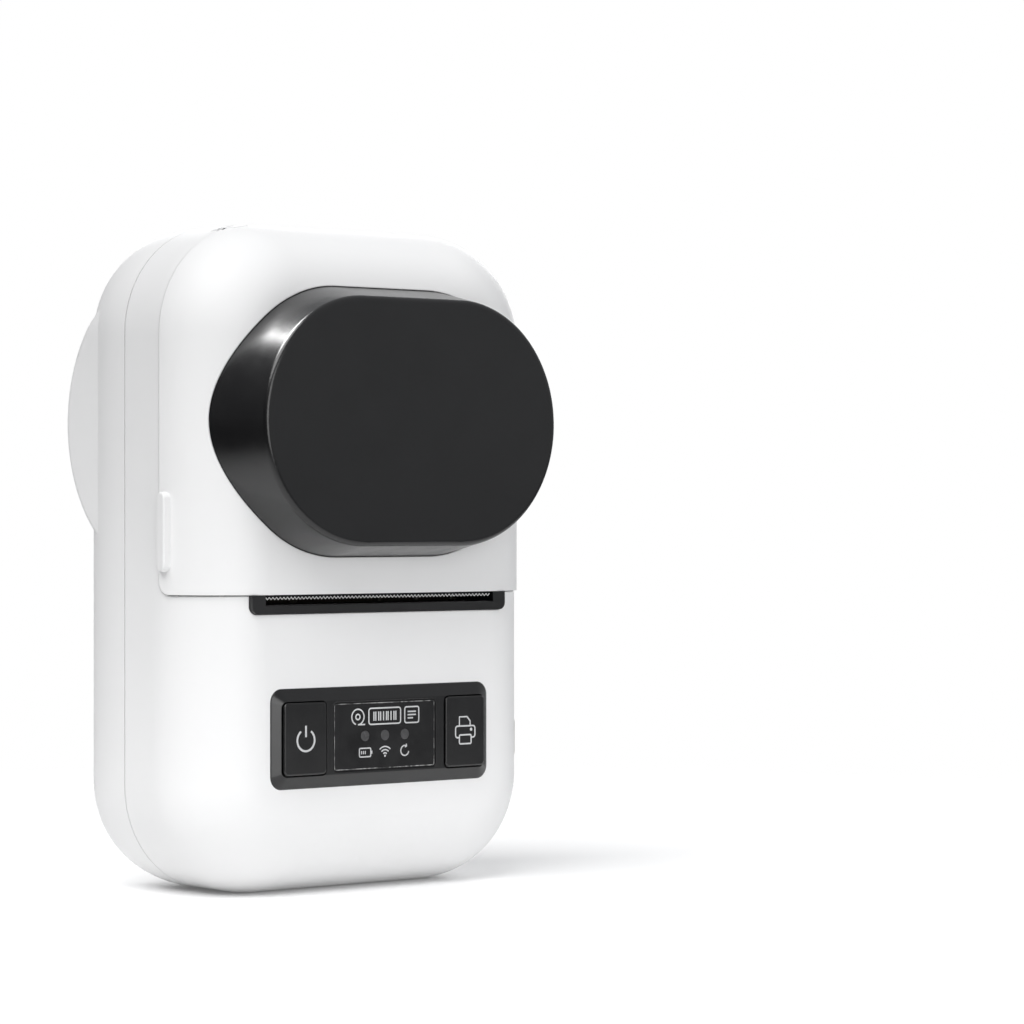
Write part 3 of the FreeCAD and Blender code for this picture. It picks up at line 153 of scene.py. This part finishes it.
def make_surround():
    """White behind the printer; for reflections, pale walls that fall off to a dark corner on the left."""
    world = bpy.data.worlds.new("studio_surround")
    world.use_nodes = True
    tree = world.node_tree
    tree.nodes.clear()
    path = add(tree, "ShaderNodeLightPath")
    toward = add(tree, "ShaderNodeTexCoord")
    side = add(tree, "ShaderNodeSeparateXYZ", None, {"Vector": toward.outputs["Generated"]})
    across = add(tree, "ShaderNodeMapRange", {"From Min": -1.0, "From Max": 0.3},
                 {"Value": side.outputs["X"]})
    fall = add(tree, "ShaderNodeValToRGB", None, {"Fac": across.outputs[0]})
    fall.color_ramp.elements[0].color = srgb(ROOM_LEFT)
    fall.color_ramp.elements[1].color = srgb(ROOM_RIGHT)
    height = add(tree, "ShaderNodeMapRange", {"From Min": -0.09, "From Max": 0.0, "To Min": UNDER_TABLE},
                 {"Value": side.outputs["Z"]})
    walls = add(tree, "ShaderNodeBackground", None, {"Color": fall.outputs[0], "Strength": height.outputs[0]})
    seen = add(tree, "ShaderNodeBackground", {"Color": srgb(BACKDROP), "Strength": 1.0})
    both = add(tree, "ShaderNodeMixShader", None,
               {0: path.outputs["Is Camera Ray"], 1: walls.outputs[0], 2: seen.outputs[0]})
    add(tree, "ShaderNodeOutputWorld", None, {"Surface": both.outputs[0]})
    bpy.context.scene.world = world


def aim(lamp, place, target):
    bpy.context.scene.collection.objects.link(lamp)
    lamp.location = place
    lamp.rotation_euler = (Vector(target) - Vector(place)).to_track_quat("-Z", "Y").to_euler()
    return lamp


def soft_box(name, place, target, width, height, power):
    data = bpy.data.lights.new(name, "AREA")
    data.shape = "RECTANGLE"
    data.size = width
    data.size_y = height
    data.energy = power
    return aim(bpy.data.objects.new(name, data), place, target)


def broad_light(name, place, target, strength, spread_degrees):
    """A very large, far source: the same strength all over the table, with soft shadows."""
    data = bpy.data.lights.new(name, "SUN")
    data.energy = strength
    data.angle = math.radians(spread_degrees)
    return aim(bpy.data.objects.new(name, data), place, target)


make_table()
make_surround()
ON_COVER = (-0.03, -0.02, 0.11)     # upper left shoulder of the roll cover
ON_CASING = (0, 0, 0.10)
broad_light("ceiling_bank", place=(-0.54, -0.22, 0.81), target=(0, 0, 0), strength=2.6, spread_degrees=50)
strip = soft_box("overhead_strip", (-0.23, 0.18, 0.63), ON_COVER, width=0.34, height=0.26, power=7.0)
soft_box("front_panel", (-0.30, -1.05, 0.20), ON_CASING, width=0.60, height=0.70, power=3.4)
soft_box("rear_panel", (0.80, 0.80, 0.40), ON_CASING, width=0.9, height=0.6, power=4.4)


# %% [markdown]
# ## Finishes
# Each finish is one short function. A moulded plastic is one colour all through, so what tells the eye
# that it is real is its surface: the faint waviness of the mould, small changes of gloss, and edges that
# are never quite sharp. Every pattern is sized in millimetres through the object's own coordinates.

# %% Shared parts of a finish
def new_finish(name):
    matter = bpy.data.materials.new(name)
    matter.use_nodes = True
    tree = matter.node_tree
    shader = tree.nodes["Principled BSDF"]
    place = add(tree, "ShaderNodeTexCoord").outputs["Object"]
    return matter, tree, shader, place


def grain(tree, place, size_mm, detail=2.0, rough=0.5, stretch=(1, 1, 1)):
    """Noise whose lumps are size_mm across; stretch squeezes it along an axis, as brushing does."""
    mapped = add(tree, "ShaderNodeMapping", {"Scale": stretch}, {"Vector": place}).outputs[0]
    settings = {"Scale": 1 / (size_mm * MM), "Detail": detail, "Roughness": rough}
    return add(tree, "ShaderNodeTexNoise", settings, {"Vector": mapped}).outputs[0]


def spread(tree, value, low, high):
    return add(tree, "ShaderNodeMapRange", {"From Min": 0.3, "From Max": 0.7, "To Min": low, "To Max": high},
               {"Value": value}).outputs[0]


def tint(tree, value, dark, light):
    ramp = add(tree, "ShaderNodeValToRGB", None, {"Fac": value})
    ramp.color_ramp.elements[0].position = 0.3
    ramp.color_ramp.elements[0].color = srgb(dark)
    ramp.color_ramp.elements[1].position = 0.7
    ramp.color_ramp.elements[1].color = srgb(light)
    return ramp.outputs[0]


def bump(tree, height, depth_mm, before=None):
    links = {"Height": height}
    if before is not None:
        links["Normal"] = before
    return add(tree, "ShaderNodeBump", {"Strength": 1.0, "Distance": depth_mm * MM}, links).outputs[0]


def moulded(name, dark, light, rough, wave_mm=9.0, wave_deep=0.01, grain_mm=0.35, grain_deep=0.001, ior=1.53,
            round_mm=0.0):
    """An injection-moulded plastic: long faint waves from the mould, a fine even grain, softened edges."""
    matter, tree, shader, place = new_finish(name)
    wave = grain(tree, place, wave_mm, 1.0)
    fine = grain(tree, place, grain_mm, 2.0)
    tree.links.new(tint(tree, wave, dark, light), shader.inputs["Base Color"])
    tree.links.new(spread(tree, grain(tree, place, 4.0, 3.0), rough[0], rough[1]), shader.inputs["Roughness"])
    edge = None
    if round_mm:
        edge = add(tree, "ShaderNodeBevel", {"samples": 6, "Radius": round_mm * MM}).outputs[0]
    surface = bump(tree, fine, grain_deep, bump(tree, wave, wave_deep, edge))
    tree.links.new(surface, shader.inputs["Normal"])
    shader.inputs["IOR"].default_value = ior
    return matter


# %% Finishes for every slot
def satin_white_abs():
    """White casing plastic: soft wide highlights, and edges rounded enough to catch a pale line of light."""
    matter = moulded("satin_white_abs", "#E9E9E9", "#EBEBEB", (0.42, 0.46), wave_mm=30.0, wave_deep=0.004,
                     grain_deep=0.0002, round_mm=0.35)
    matter.node_tree.nodes["Principled BSDF"].inputs["Specular IOR Level"].default_value = 0.2
    return matter


def matte_white_abs():
    """Inner white plastic with a spark-eroded texture: it scatters light and shows no mirror."""
    return moulded("matte_white_abs", "#E6E6E4", "#EBEBEA", (0.45, 0.6), grain_mm=0.5, grain_deep=0.01)


def cream_acetal():
    """Slippery bearing plastic of the roll holder: a warm off-white with a waxy, even shine."""
    return moulded("cream_acetal", "#F3EDE7", "#F8F3EF", (0.28, 0.4), ior=1.48)


def gloss_black_polycarbonate():
    """Deep black with a clear, slightly soft mirror of the lamps, which tells the eye it is polished."""
    return moulded("gloss_black_polycarbonate", "#0A0A0B", "#0E0E0F", (0.20, 0.25), grain_deep=0.0004,
                   ior=1.58, round_mm=0.2)


def satin_black_abs():
    """Black with the shine taken off, as parts near the paper path are, so that they don't glare."""
    return moulded("satin_black_abs", "#101011", "#161617", (0.3, 0.42), grain_deep=0.003)


def smoked_acrylic():
    """A dark clear window: nearly black, a touch lighter than the bezel round it."""
    return moulded("smoked_acrylic", "#121213", "#171718", (0.14, 0.26), grain_deep=0.0006, ior=1.49)


def clear_acrylic():
    """Light pipes: clear, with slightly frosted ends that hide what is behind them."""
    matter, tree, shader, place = new_finish("clear_acrylic")
    shader.inputs["Base Color"].default_value = srgb("#DDE3E3")
    shader.inputs["Transmission Weight"].default_value = 0.8
    shader.inputs["IOR"].default_value = 1.49
    tree.links.new(spread(tree, grain(tree, place, 2.0), 0.1, 0.25), shader.inputs["Roughness"])
    return matter


def led_package():
    """Pale resin over the chips, faintly yellow, so that the lights read as unlit."""
    return moulded("led_package_resin", "#D8D6C4", "#E6E4D4", (0.3, 0.45))


def solder_mask_board():
    """Green lacquer over woven glass: glossy, with the weave just showing through."""
    matter, tree, shader, place = new_finish("green_solder_mask_board")
    weave = grain(tree, place, 0.6)
    tree.links.new(tint(tree, weave, "#0C3B24", "#125030"), shader.inputs["Base Color"])
    tree.links.new(spread(tree, grain(tree, place, 3.0), 0.25, 0.4), shader.inputs["Roughness"])
    tree.links.new(bump(tree, weave, 0.01), shader.inputs["Normal"])
    return matter


def moulded_epoxy():
    """Chip bodies: dull dark grey that sets them off from the glossy board."""
    return moulded("moulded_chip_epoxy", "#151516", "#1D1D1E", (0.5, 0.65), grain_mm=0.15, grain_deep=0.006)


def metal(name, dark, light, rough, streak=(1, 1, 1), size_mm=0.5, deep=0.002):
    """Bare metal: the streaks follow the way it was ground, drawn or rolled."""
    matter, tree, shader, place = new_finish(name)
    lines = grain(tree, place, size_mm, 4.0, 0.6, streak)
    cloud = grain(tree, place, 6.0, 2.0)
    tree.links.new(tint(tree, cloud, dark, light), shader.inputs["Base Color"])
    tree.links.new(spread(tree, lines, rough[0], rough[1]), shader.inputs["Roughness"])
    tree.links.new(bump(tree, lines, deep), shader.inputs["Normal"])
    shader.inputs["Metallic"].default_value = 1.0
    return matter


def tinned_steel():
    """Thin bright plate of cans and shields, drawn along one way."""
    return metal("tinned_steel_shield", "#B9B8B3", "#CCCBC6", (0.25, 0.45), (1, 1, 4))


def ground_stainless():
    """Pins, shafts and springs: hard bright steel with fine grinding marks round them."""
    return metal("ground_stainless_steel", "#B8B8B8", "#CFCFCE", (0.18, 0.32), (0.1, 2, 2))


def zinc_plated_steel():
    """Screws: a greyer, softer shine than stainless steel."""
    return metal("zinc_plated_steel", "#A9AAA8", "#C3C4C2", (0.28, 0.42))


def extruded_aluminium():
    """Heat sink: pale metal with lines along its length from the die."""
    return metal("extruded_aluminium", "#C5C7C9", "#D6D8DA", (0.3, 0.45), (0.1, 3, 3))


def glazed_alumina():
    """The print head's ceramic under its brown-black glaze: glassy, and dark enough to vanish in the slot."""
    return moulded("glazed_alumina", "#3E3A36", "#4C4843", (0.15, 0.3), grain_deep=0.001, ior=1.7)


def ground_silicone_rubber():
    """Platen sleeve: matt near-black that grips paper, with the wheel's fine grain."""
    return moulded("ground_silicone_rubber", "#1B1B1C", "#242425", (0.65, 0.8), grain_mm=0.2,
                   grain_deep=0.01, ior=1.43)


def laminate_pouch():
    """Battery wrap: soft silver foil with shallow dents."""
    return metal("aluminium_laminate_pouch", "#8C8F93", "#A3A6AA", (0.3, 0.5), size_mm=1.2, deep=0.02)


def natural_nylon():
    """Undyed gear plastic: ivory, waxy and a little uneven."""
    return moulded("natural_nylon", "#DDD8CA", "#E8E4D8", (0.4, 0.55), ior=1.53)


FINISHES = {
    "white_abs": satin_white_abs, "white_matte": matte_white_abs, "cream_pom": cream_acetal,
    "black_gloss": gloss_black_polycarbonate, "black_satin": satin_black_abs,
    "smoked_window": smoked_acrylic, "clear_acrylic": clear_acrylic, "led_resin": led_package,
    "circuit_board": solder_mask_board, "chip_epoxy": moulded_epoxy, "tin_plate": tinned_steel,
    "stainless": ground_stainless, "zinc_steel": zinc_plated_steel, "aluminium": extruded_aluminium,
    "alumina": glazed_alumina, "platen_rubber": ground_silicone_rubber,
    "battery_film": laminate_pouch, "nylon_natural": natural_nylon,
}
finish = {slot: make() for slot, make in FINISHES.items()}
gloss_only = bpy.data.collections.new("lit_by_the_strip")
strip.light_linking.receiver_collection = gloss_only      # a flag keeps its shine off the white parts
slot_of = {part["node"]: part["material_slot"] for part in frame["record"]["subparts"]}


def dress(obj, matter):
    obj.data.materials.clear()
    obj.data.materials.append(matter)


for name, obj in nodes.items():
    dress(obj, finish[slot_of[name]])
    if slot_of[name] == "black_gloss":
        gloss_only.objects.link(obj)
print("finishes made:", len(finish))


# %% [markdown]
# ## Printed signs
# The keys and the indicator window carry thin printed signs. Each sign is a set of strokes: lists of
# (across, up) points in millimetres about its middle. One node tree turns any set of strokes into ink: it
# sweeps a small circle along them and presses the result nearly flat.

# %% The ink tree
INK_FLAT = 0.06             # height of the ink as a share of its width


def ink_tree():
    tree = bpy.data.node_groups.new("ink_strokes", "GeometryNodeTree")
    face = tree.interface
    face.new_socket("Geometry", in_out="INPUT", socket_type="NodeSocketGeometry")
    face.new_socket("Stroke Width", in_out="INPUT", socket_type="NodeSocketFloat")
    face.new_socket("Flatness", in_out="INPUT", socket_type="NodeSocketVector")
    face.new_socket("Material", in_out="INPUT", socket_type="NodeSocketMaterial")
    face.new_socket("Geometry", in_out="OUTPUT", socket_type="NodeSocketGeometry")
    given = add(tree, "NodeGroupInput").outputs
    half = add(tree, "ShaderNodeMath", {"operation": "MULTIPLY", 1: 0.5}, {0: given["Stroke Width"]})
    ring = add(tree, "GeometryNodeCurvePrimitiveCircle", {"Resolution": 10}, {"Radius": half.outputs[0]})
    lines = add(tree, "GeometryNodeMeshToCurve", None, {"Mesh": given["Geometry"]})
    swept = add(tree, "GeometryNodeCurveToMesh", {"Fill Caps": True},
                {"Curve": lines.outputs[0], "Profile Curve": ring.outputs["Curve"]})
    flat = add(tree, "GeometryNodeTransform", None,
               {"Geometry": swept.outputs[0], "Scale": given["Flatness"]})
    real = add(tree, "GeometryNodeRealizeInstances", None, {"Geometry": flat.outputs[0]})
    inked = add(tree, "GeometryNodeSetMaterial", None,
                {"Geometry": real.outputs[0], "Material": given["Material"]})
    add(tree, "NodeGroupOutput", None, {"Geometry": inked.outputs[0]})
    return tree


def run_tree(name, mesh, tree, values):
    """Runs a geometry tree on a mesh and keeps the result as a plain mesh."""
    rough = bpy.data.objects.new(name + "_rough", mesh)
    bpy.context.scene.collection.objects.link(rough)
    modifier = rough.modifiers.new("tree", "NODES")
    modifier.node_group = tree
    for item in tree.interface.items_tree:
        if item.in_out == "INPUT" and item.name in values:
            modifier[item.identifier] = values[item.name]
    bpy.context.view_layer.update()
    ready = rough.evaluated_get(bpy.context.evaluated_depsgraph_get())
    plain = bpy.data.meshes.new_from_object(ready)
    plain.name = name
    bpy.data.objects.remove(rough)
    made = bpy.data.objects.new(name, plain)
    bpy.context.scene.collection.objects.link(made)
    return made


INK = ink_tree()


# %% Stroke shapes
def arc(radius, start, end, centre=(0, 0), steps=24):
    """Points round a centre; angles in degrees, anticlockwise from the right."""
    turn = [math.radians(start + (end - start) * i / steps) for i in range(steps + 1)]
    return [(centre[0] + radius * math.cos(a), centre[1] + radius * math.sin(a)) for a in turn]


def frame_line(width, height, radius, centre=(0, 0)):
    """A closed rounded rectangle."""
    points = []
    for start, sx, sz in ((0, 1, 1), (90, -1, 1), (180, -1, -1), (270, 1, -1)):
        middle = (centre[0] + sx * (width / 2 - radius), centre[1] + sz * (height / 2 - radius))
        points += arc(radius, start, start + 90, middle, 6)
    return points + points[:1]


def moved(strokes, across, up):
    return [[(x + across, z + up) for x, z in stroke] for stroke in strokes]


power_sign = [arc(2.0, 125, 415, (0, -0.25)), [(0, 2.45), (0, 0.35)]]
sheet_in = [(-1.45, 1.0), (-1.45, 2.75), (0.45, 2.75), (1.2, 1.9), (1.2, 1.0)]
printer_body = [(-1.5, -1.2), (-1.9, -1.2), *arc(0.5, 270, 180, (-1.9, -0.7), 6),
                *arc(0.5, 180, 90, (-1.9, 0.5), 6), *arc(0.5, 90, 0, (1.9, 0.5), 6),
                *arc(0.5, 0, -90, (1.9, -0.7), 6), (1.5, -1.2)]
printer_sign = [sheet_in, printer_body, frame_line(2.9, 1.7, 0.25, (0, -1.55)),
                arc(0.16, 0, 360, (1.45, 0.3), 10)]
label_bars = [[(x, -0.85), (x, 0.85)] for x in (-2.6, -2.15, -1.45, -1.0, -0.3, 0.4, 0.8, 1.5, 2.2, 2.65)]
label_sign = [frame_line(7.6, 3.0, 0.5)] + label_bars
roll_sign = [arc(1.45, -90, 250, (-6.4, 0), 30), arc(0.5, 0, 360, (-6.4, 0), 16),
             [(-6.4, -1.45), (-4.7, -1.45)]]
lines_sign = [frame_line(3.4, 3.0, 0.4, (6.5, 0)), [(5.5, 0.6), (7.5, 0.6)], [(5.5, 0), (7.5, 0)],
              [(5.5, -0.6), (6.8, -0.6)]]
title_sign = roll_sign + label_sign + lines_sign
battery_sign = [frame_line(2.7, 1.6, 0.25), [(1.6, -0.3), (1.6, 0.3)], [(-0.85, -0.3), (-0.85, 0.3)],
                [(-0.4, -0.3), (-0.4, 0.3)], [(0.05, -0.3), (0.05, 0.3)]]
waves_sign = [arc(r, 45, 135, (0, -0.85), 12) for r in (0.6, 1.2, 1.8)] + [arc(0.1, 0, 360, (0, -0.8), 8)]
renew_sign = [arc(0.95, 60, 350), [(0.35, 1.25), (0.48, 0.82), (0.05, 0.62)]]


# %% Finishes for the printing and the window
def screen_ink():
    """Matt light-grey screen ink: slightly uneven, so thin lines don't look drawn by a computer."""
    return moulded("matte_screen_ink", "#B9BABB", "#CFD0D1", (0.55, 0.7), grain_mm=0.15, grain_deep=0.004)


def dim_lens():
    """Unlit indicator dots under smoked acrylic: a shade lighter than the window."""
    return moulded("unlit_indicator_dots", "#3A3A3B", "#464647", (0.25, 0.4), wave_mm=0.7, grain_mm=0.1)


def worn_film():
    """The cut edge of a protective film: pale where it has lifted, almost gone where it still sticks."""
    matter, tree, shader, place = new_finish("worn_film_edge")
    torn = grain(tree, place, 1.6, 4.0, 0.7)
    shade = tint(tree, torn, "#1C1C1D", "#B4B4B3")
    shade.node.color_ramp.elements[0].position = 0.44
    shade.node.color_ramp.elements[1].position = 0.62
    tree.links.new(shade, shader.inputs["Base Color"])
    tree.links.new(spread(tree, torn, 0.25, 0.6), shader.inputs["Roughness"])
    return matter


ink = screen_ink()
lens = dim_lens()
film = worn_film()


# %% Put the signs on
def stroke_mesh(strokes):
    points = []
    edges = []
    for stroke in strokes:
        first = len(points)
        loop = math.dist(stroke[0], stroke[-1]) < 1e-6
        kept = stroke[:-1] if loop else stroke
        points += [(x * MM, 0, z * MM) for x, z in kept]
        edges += [(first + i, first + i + 1) for i in range(len(kept) - 1)]
        if loop:
            edges.append((first + len(kept) - 1, first))
    mesh = bpy.data.meshes.new("strokes")
    mesh.from_pydata(points, edges, [])
    return mesh


def print_sign(name, strokes, on_node, body, width_mm, matter, middle=None):
    """Prints strokes on the front of a node, about its middle or about a given (x, z) in millimetres."""
    low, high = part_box(on_node)
    centre = middle or ((low.x + high.x) / 2 / MM, (low.z + high.z) / 2 / MM)
    sign = run_tree(name, stroke_mesh(moved(strokes, *centre)), INK, {
        "Stroke Width": width_mm * MM, "Flatness": (1, INK_FLAT, 1), "Material": matter})
    for point in sign.data.vertices:
        point.co.y += low.y
    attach(sign, body)
    return sign


window_low, window_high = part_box("indicator_window")
row_z = (window_low.z + window_high.z) / 2 / MM
TITLE_UP = 3.6              # of the label sign above the dots
SIGNS_DOWN = 3.1            # of the small signs below the dots
dots_x = [-4.7, 0.05, 4.8]

print_sign("power_sign", power_sign, "power_button", "power_key", 0.42, ink)
print_sign("feed_sign", printer_sign, "feed_button", "feed_key", 0.30, ink)
print_sign("title_sign", title_sign, "indicator_window", "casing", 0.28, ink, (0, row_z + TITLE_UP))
for name, strokes, x in zip(("battery_sign", "wireless_sign", "renew_sign"),
                            (battery_sign, waves_sign, renew_sign), dots_x):
    print_sign(name, strokes, "indicator_window", "casing", 0.26, ink, (x, row_z - SIGNS_DOWN))
FILM_INSET = 0.3            # from the window's edge to the edge of its film
FILM_CORNER_R = 0.35
DOT_R = 0.5
window_w = (window_high.x - window_low.x) / MM
window_h = (window_high.z - window_low.z) / MM
edge_line = [frame_line(window_w - 2 * FILM_INSET, window_h - 2 * FILM_INSET, FILM_CORNER_R)]
print_sign("film_edge", edge_line, "indicator_window", "casing", 0.14, film)
rings = [arc(DOT_R, 0, 360, (x, 0), 24) for x in dots_x]
print_sign("indicator_dots", rings, "indicator_window", "casing", 2 * DOT_R, lens, (0, row_z))
print("signs printed")


# %% [markdown]
# ## The tear blade
# The teeth repeat, so one node tree makes them all: it counts points along a line, drops every second
# point by the height of a tooth, pulls the zigzag up into a blade, and lays a ground edge on it, which
# is bright partly as ground steel is and partly by painted highlight.

# %% The blade tree
def blade_tree():
    tree = bpy.data.node_groups.new("tear_blade", "GeometryNodeTree")
    face = tree.interface
    face.new_socket("Geometry", in_out="INPUT", socket_type="NodeSocketGeometry")
    face.new_socket("Teeth", in_out="INPUT", socket_type="NodeSocketInt")
    for name in ("Pitch", "Tooth", "Height", "Thickness", "Ground Edge"):
        face.new_socket(name, in_out="INPUT", socket_type="NodeSocketFloat")
    for name in ("Blade Steel", "Edge Steel"):
        face.new_socket(name, in_out="INPUT", socket_type="NodeSocketMaterial")
    face.new_socket("Geometry", in_out="OUTPUT", socket_type="NodeSocketGeometry")
    given = add(tree, "NodeGroupInput").outputs

    def calc(operation, first, second):
        node = add(tree, "ShaderNodeMath", {"operation": operation})
        for slot_number, value in enumerate((first, second)):
            if isinstance(value, (int, float)):
                node.inputs[slot_number].default_value = value
            else:
                tree.links.new(value, node.inputs[slot_number])
        return node.outputs[0]

    def vector(x=0.0, y=0.0, z=0.0):
        node = add(tree, "ShaderNodeCombineXYZ")
        for slot_number, value in enumerate((x, y, z)):
            if isinstance(value, (int, float)):
                node.inputs[slot_number].default_value = value
            else:
                tree.links.new(value, node.inputs[slot_number])
        return node.outputs[0]

    half_pitch = calc("MULTIPLY", given["Pitch"], 0.5)
    count = calc("ADD", calc("MULTIPLY", given["Teeth"], 2.0), 1.0)
    start = calc("MULTIPLY", calc("MULTIPLY", given["Teeth"], given["Pitch"]), -0.5)
    line = add(tree, "GeometryNodeMeshLine", None,
               {"Count": count, "Start Location": vector(start), "Offset": vector(half_pitch)})
    odd = calc("MODULO", add(tree, "GeometryNodeInputIndex").outputs[0], 2.0)
    drop = calc("MULTIPLY", calc("MULTIPLY", odd, given["Tooth"]), -1.0)
    zigzag = add(tree, "GeometryNodeSetPosition", None,
                 {"Geometry": line.outputs[0], "Offset": vector(z=drop)})
    raised = add(tree, "GeometryNodeExtrudeMesh", {"mode": "EDGES", "Offset Scale": 1.0},
                 {"Mesh": zigzag.outputs[0], "Offset": vector(z=given["Height"])})
    thick = add(tree, "GeometryNodeExtrudeMesh", {"mode": "FACES", "Offset Scale": 1.0, "Individual": False},
                {"Mesh": raised.outputs["Mesh"], "Offset": vector(y=given["Thickness"])})
    front = add(tree, "GeometryNodeFlipFaces", None, {"Mesh": raised.outputs["Mesh"]})
    whole = add(tree, "GeometryNodeJoinGeometry")
    tree.links.new(thick.outputs["Mesh"], whole.inputs[0])
    tree.links.new(front.outputs[0], whole.inputs[0])
    body = add(tree, "GeometryNodeMergeByDistance", {"Distance": 0.002 * MM}, {"Geometry": whole.outputs[0]})
    steel = add(tree, "GeometryNodeSetMaterial", None,
                {"Geometry": body.outputs[0], "Material": given["Blade Steel"]})
    ring = add(tree, "GeometryNodeCurvePrimitiveCircle", {"Resolution": 6}, {"Radius": given["Ground Edge"]})
    path = add(tree, "GeometryNodeMeshToCurve", None, {"Mesh": zigzag.outputs[0]})
    edge = add(tree, "GeometryNodeCurveToMesh", {"Fill Caps": True},
               {"Curve": path.outputs[0], "Profile Curve": ring.outputs["Curve"]})
    bright = add(tree, "GeometryNodeSetMaterial", None,
                 {"Geometry": edge.outputs[0], "Material": given["Edge Steel"]})
    both = add(tree, "GeometryNodeJoinGeometry")
    tree.links.new(steel.outputs[0], both.inputs[0])
    tree.links.new(bright.outputs[0], both.inputs[0])
    real = add(tree, "GeometryNodeRealizeInstances", None, {"Geometry": both.outputs[0]})
    add(tree, "NodeGroupOutput", None, {"Geometry": real.outputs[0]})
    return tree


def blade_steel_painted_shade():
    """Spring steel made dark: painted shade of the slot under the lid, so that only its ground teeth shine.
    """
    return metal("dark_blade_steel_painted_shade", "#202022", "#2A2A2C", (0.35, 0.5), (0.1, 2, 2))


def ground_edge_painted_highlight():
    """Freshly ground steel, part mirror; its pale colour is partly a painted highlight for the teeth's glint.
    """
    matter = metal("ground_edge_painted_highlight", "#E9E9E9", "#F6F6F5", (0.5, 0.62), size_mm=0.1, deep=0.001)
    # part metal, so that the pale base shows as a painted highlight even where no lamp mirrors in it
    matter.node_tree.nodes["Principled BSDF"].inputs["Metallic"].default_value = 0.4
    return matter


TOOTH_PITCH = 0.85
TOOTH_HIGH = 0.42
EDGE_R = 0.10
blade_low, blade_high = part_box("tear_bar")
teeth = round((blade_high.x - blade_low.x) / (TOOTH_PITCH * MM))
blade = run_tree("toothed_tear_blade", bpy.data.meshes.new("seed"), blade_tree(), {
    "Teeth": teeth, "Pitch": (blade_high.x - blade_low.x - 4 * EDGE_R * MM) / teeth, "Tooth": TOOTH_HIGH * MM,
    "Height": blade_high.z - blade_low.z - (TOOTH_HIGH + EDGE_R) * MM,
    "Thickness": blade_high.y - blade_low.y - EDGE_R * MM, "Ground Edge": EDGE_R * MM,
    "Blade Steel": blade_steel_painted_shade(), "Edge Steel": ground_edge_painted_highlight()})
for point in blade.data.vertices:
    point.co.x += (blade_low.x + blade_high.x) / 2
    point.co.y += blade_low.y + EDGE_R * MM
    point.co.z += blade_low.z + (TOOTH_HIGH + EDGE_R) * MM
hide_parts("tear_bar")
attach(blade, "lid")
print("teeth on the blade:", teeth)
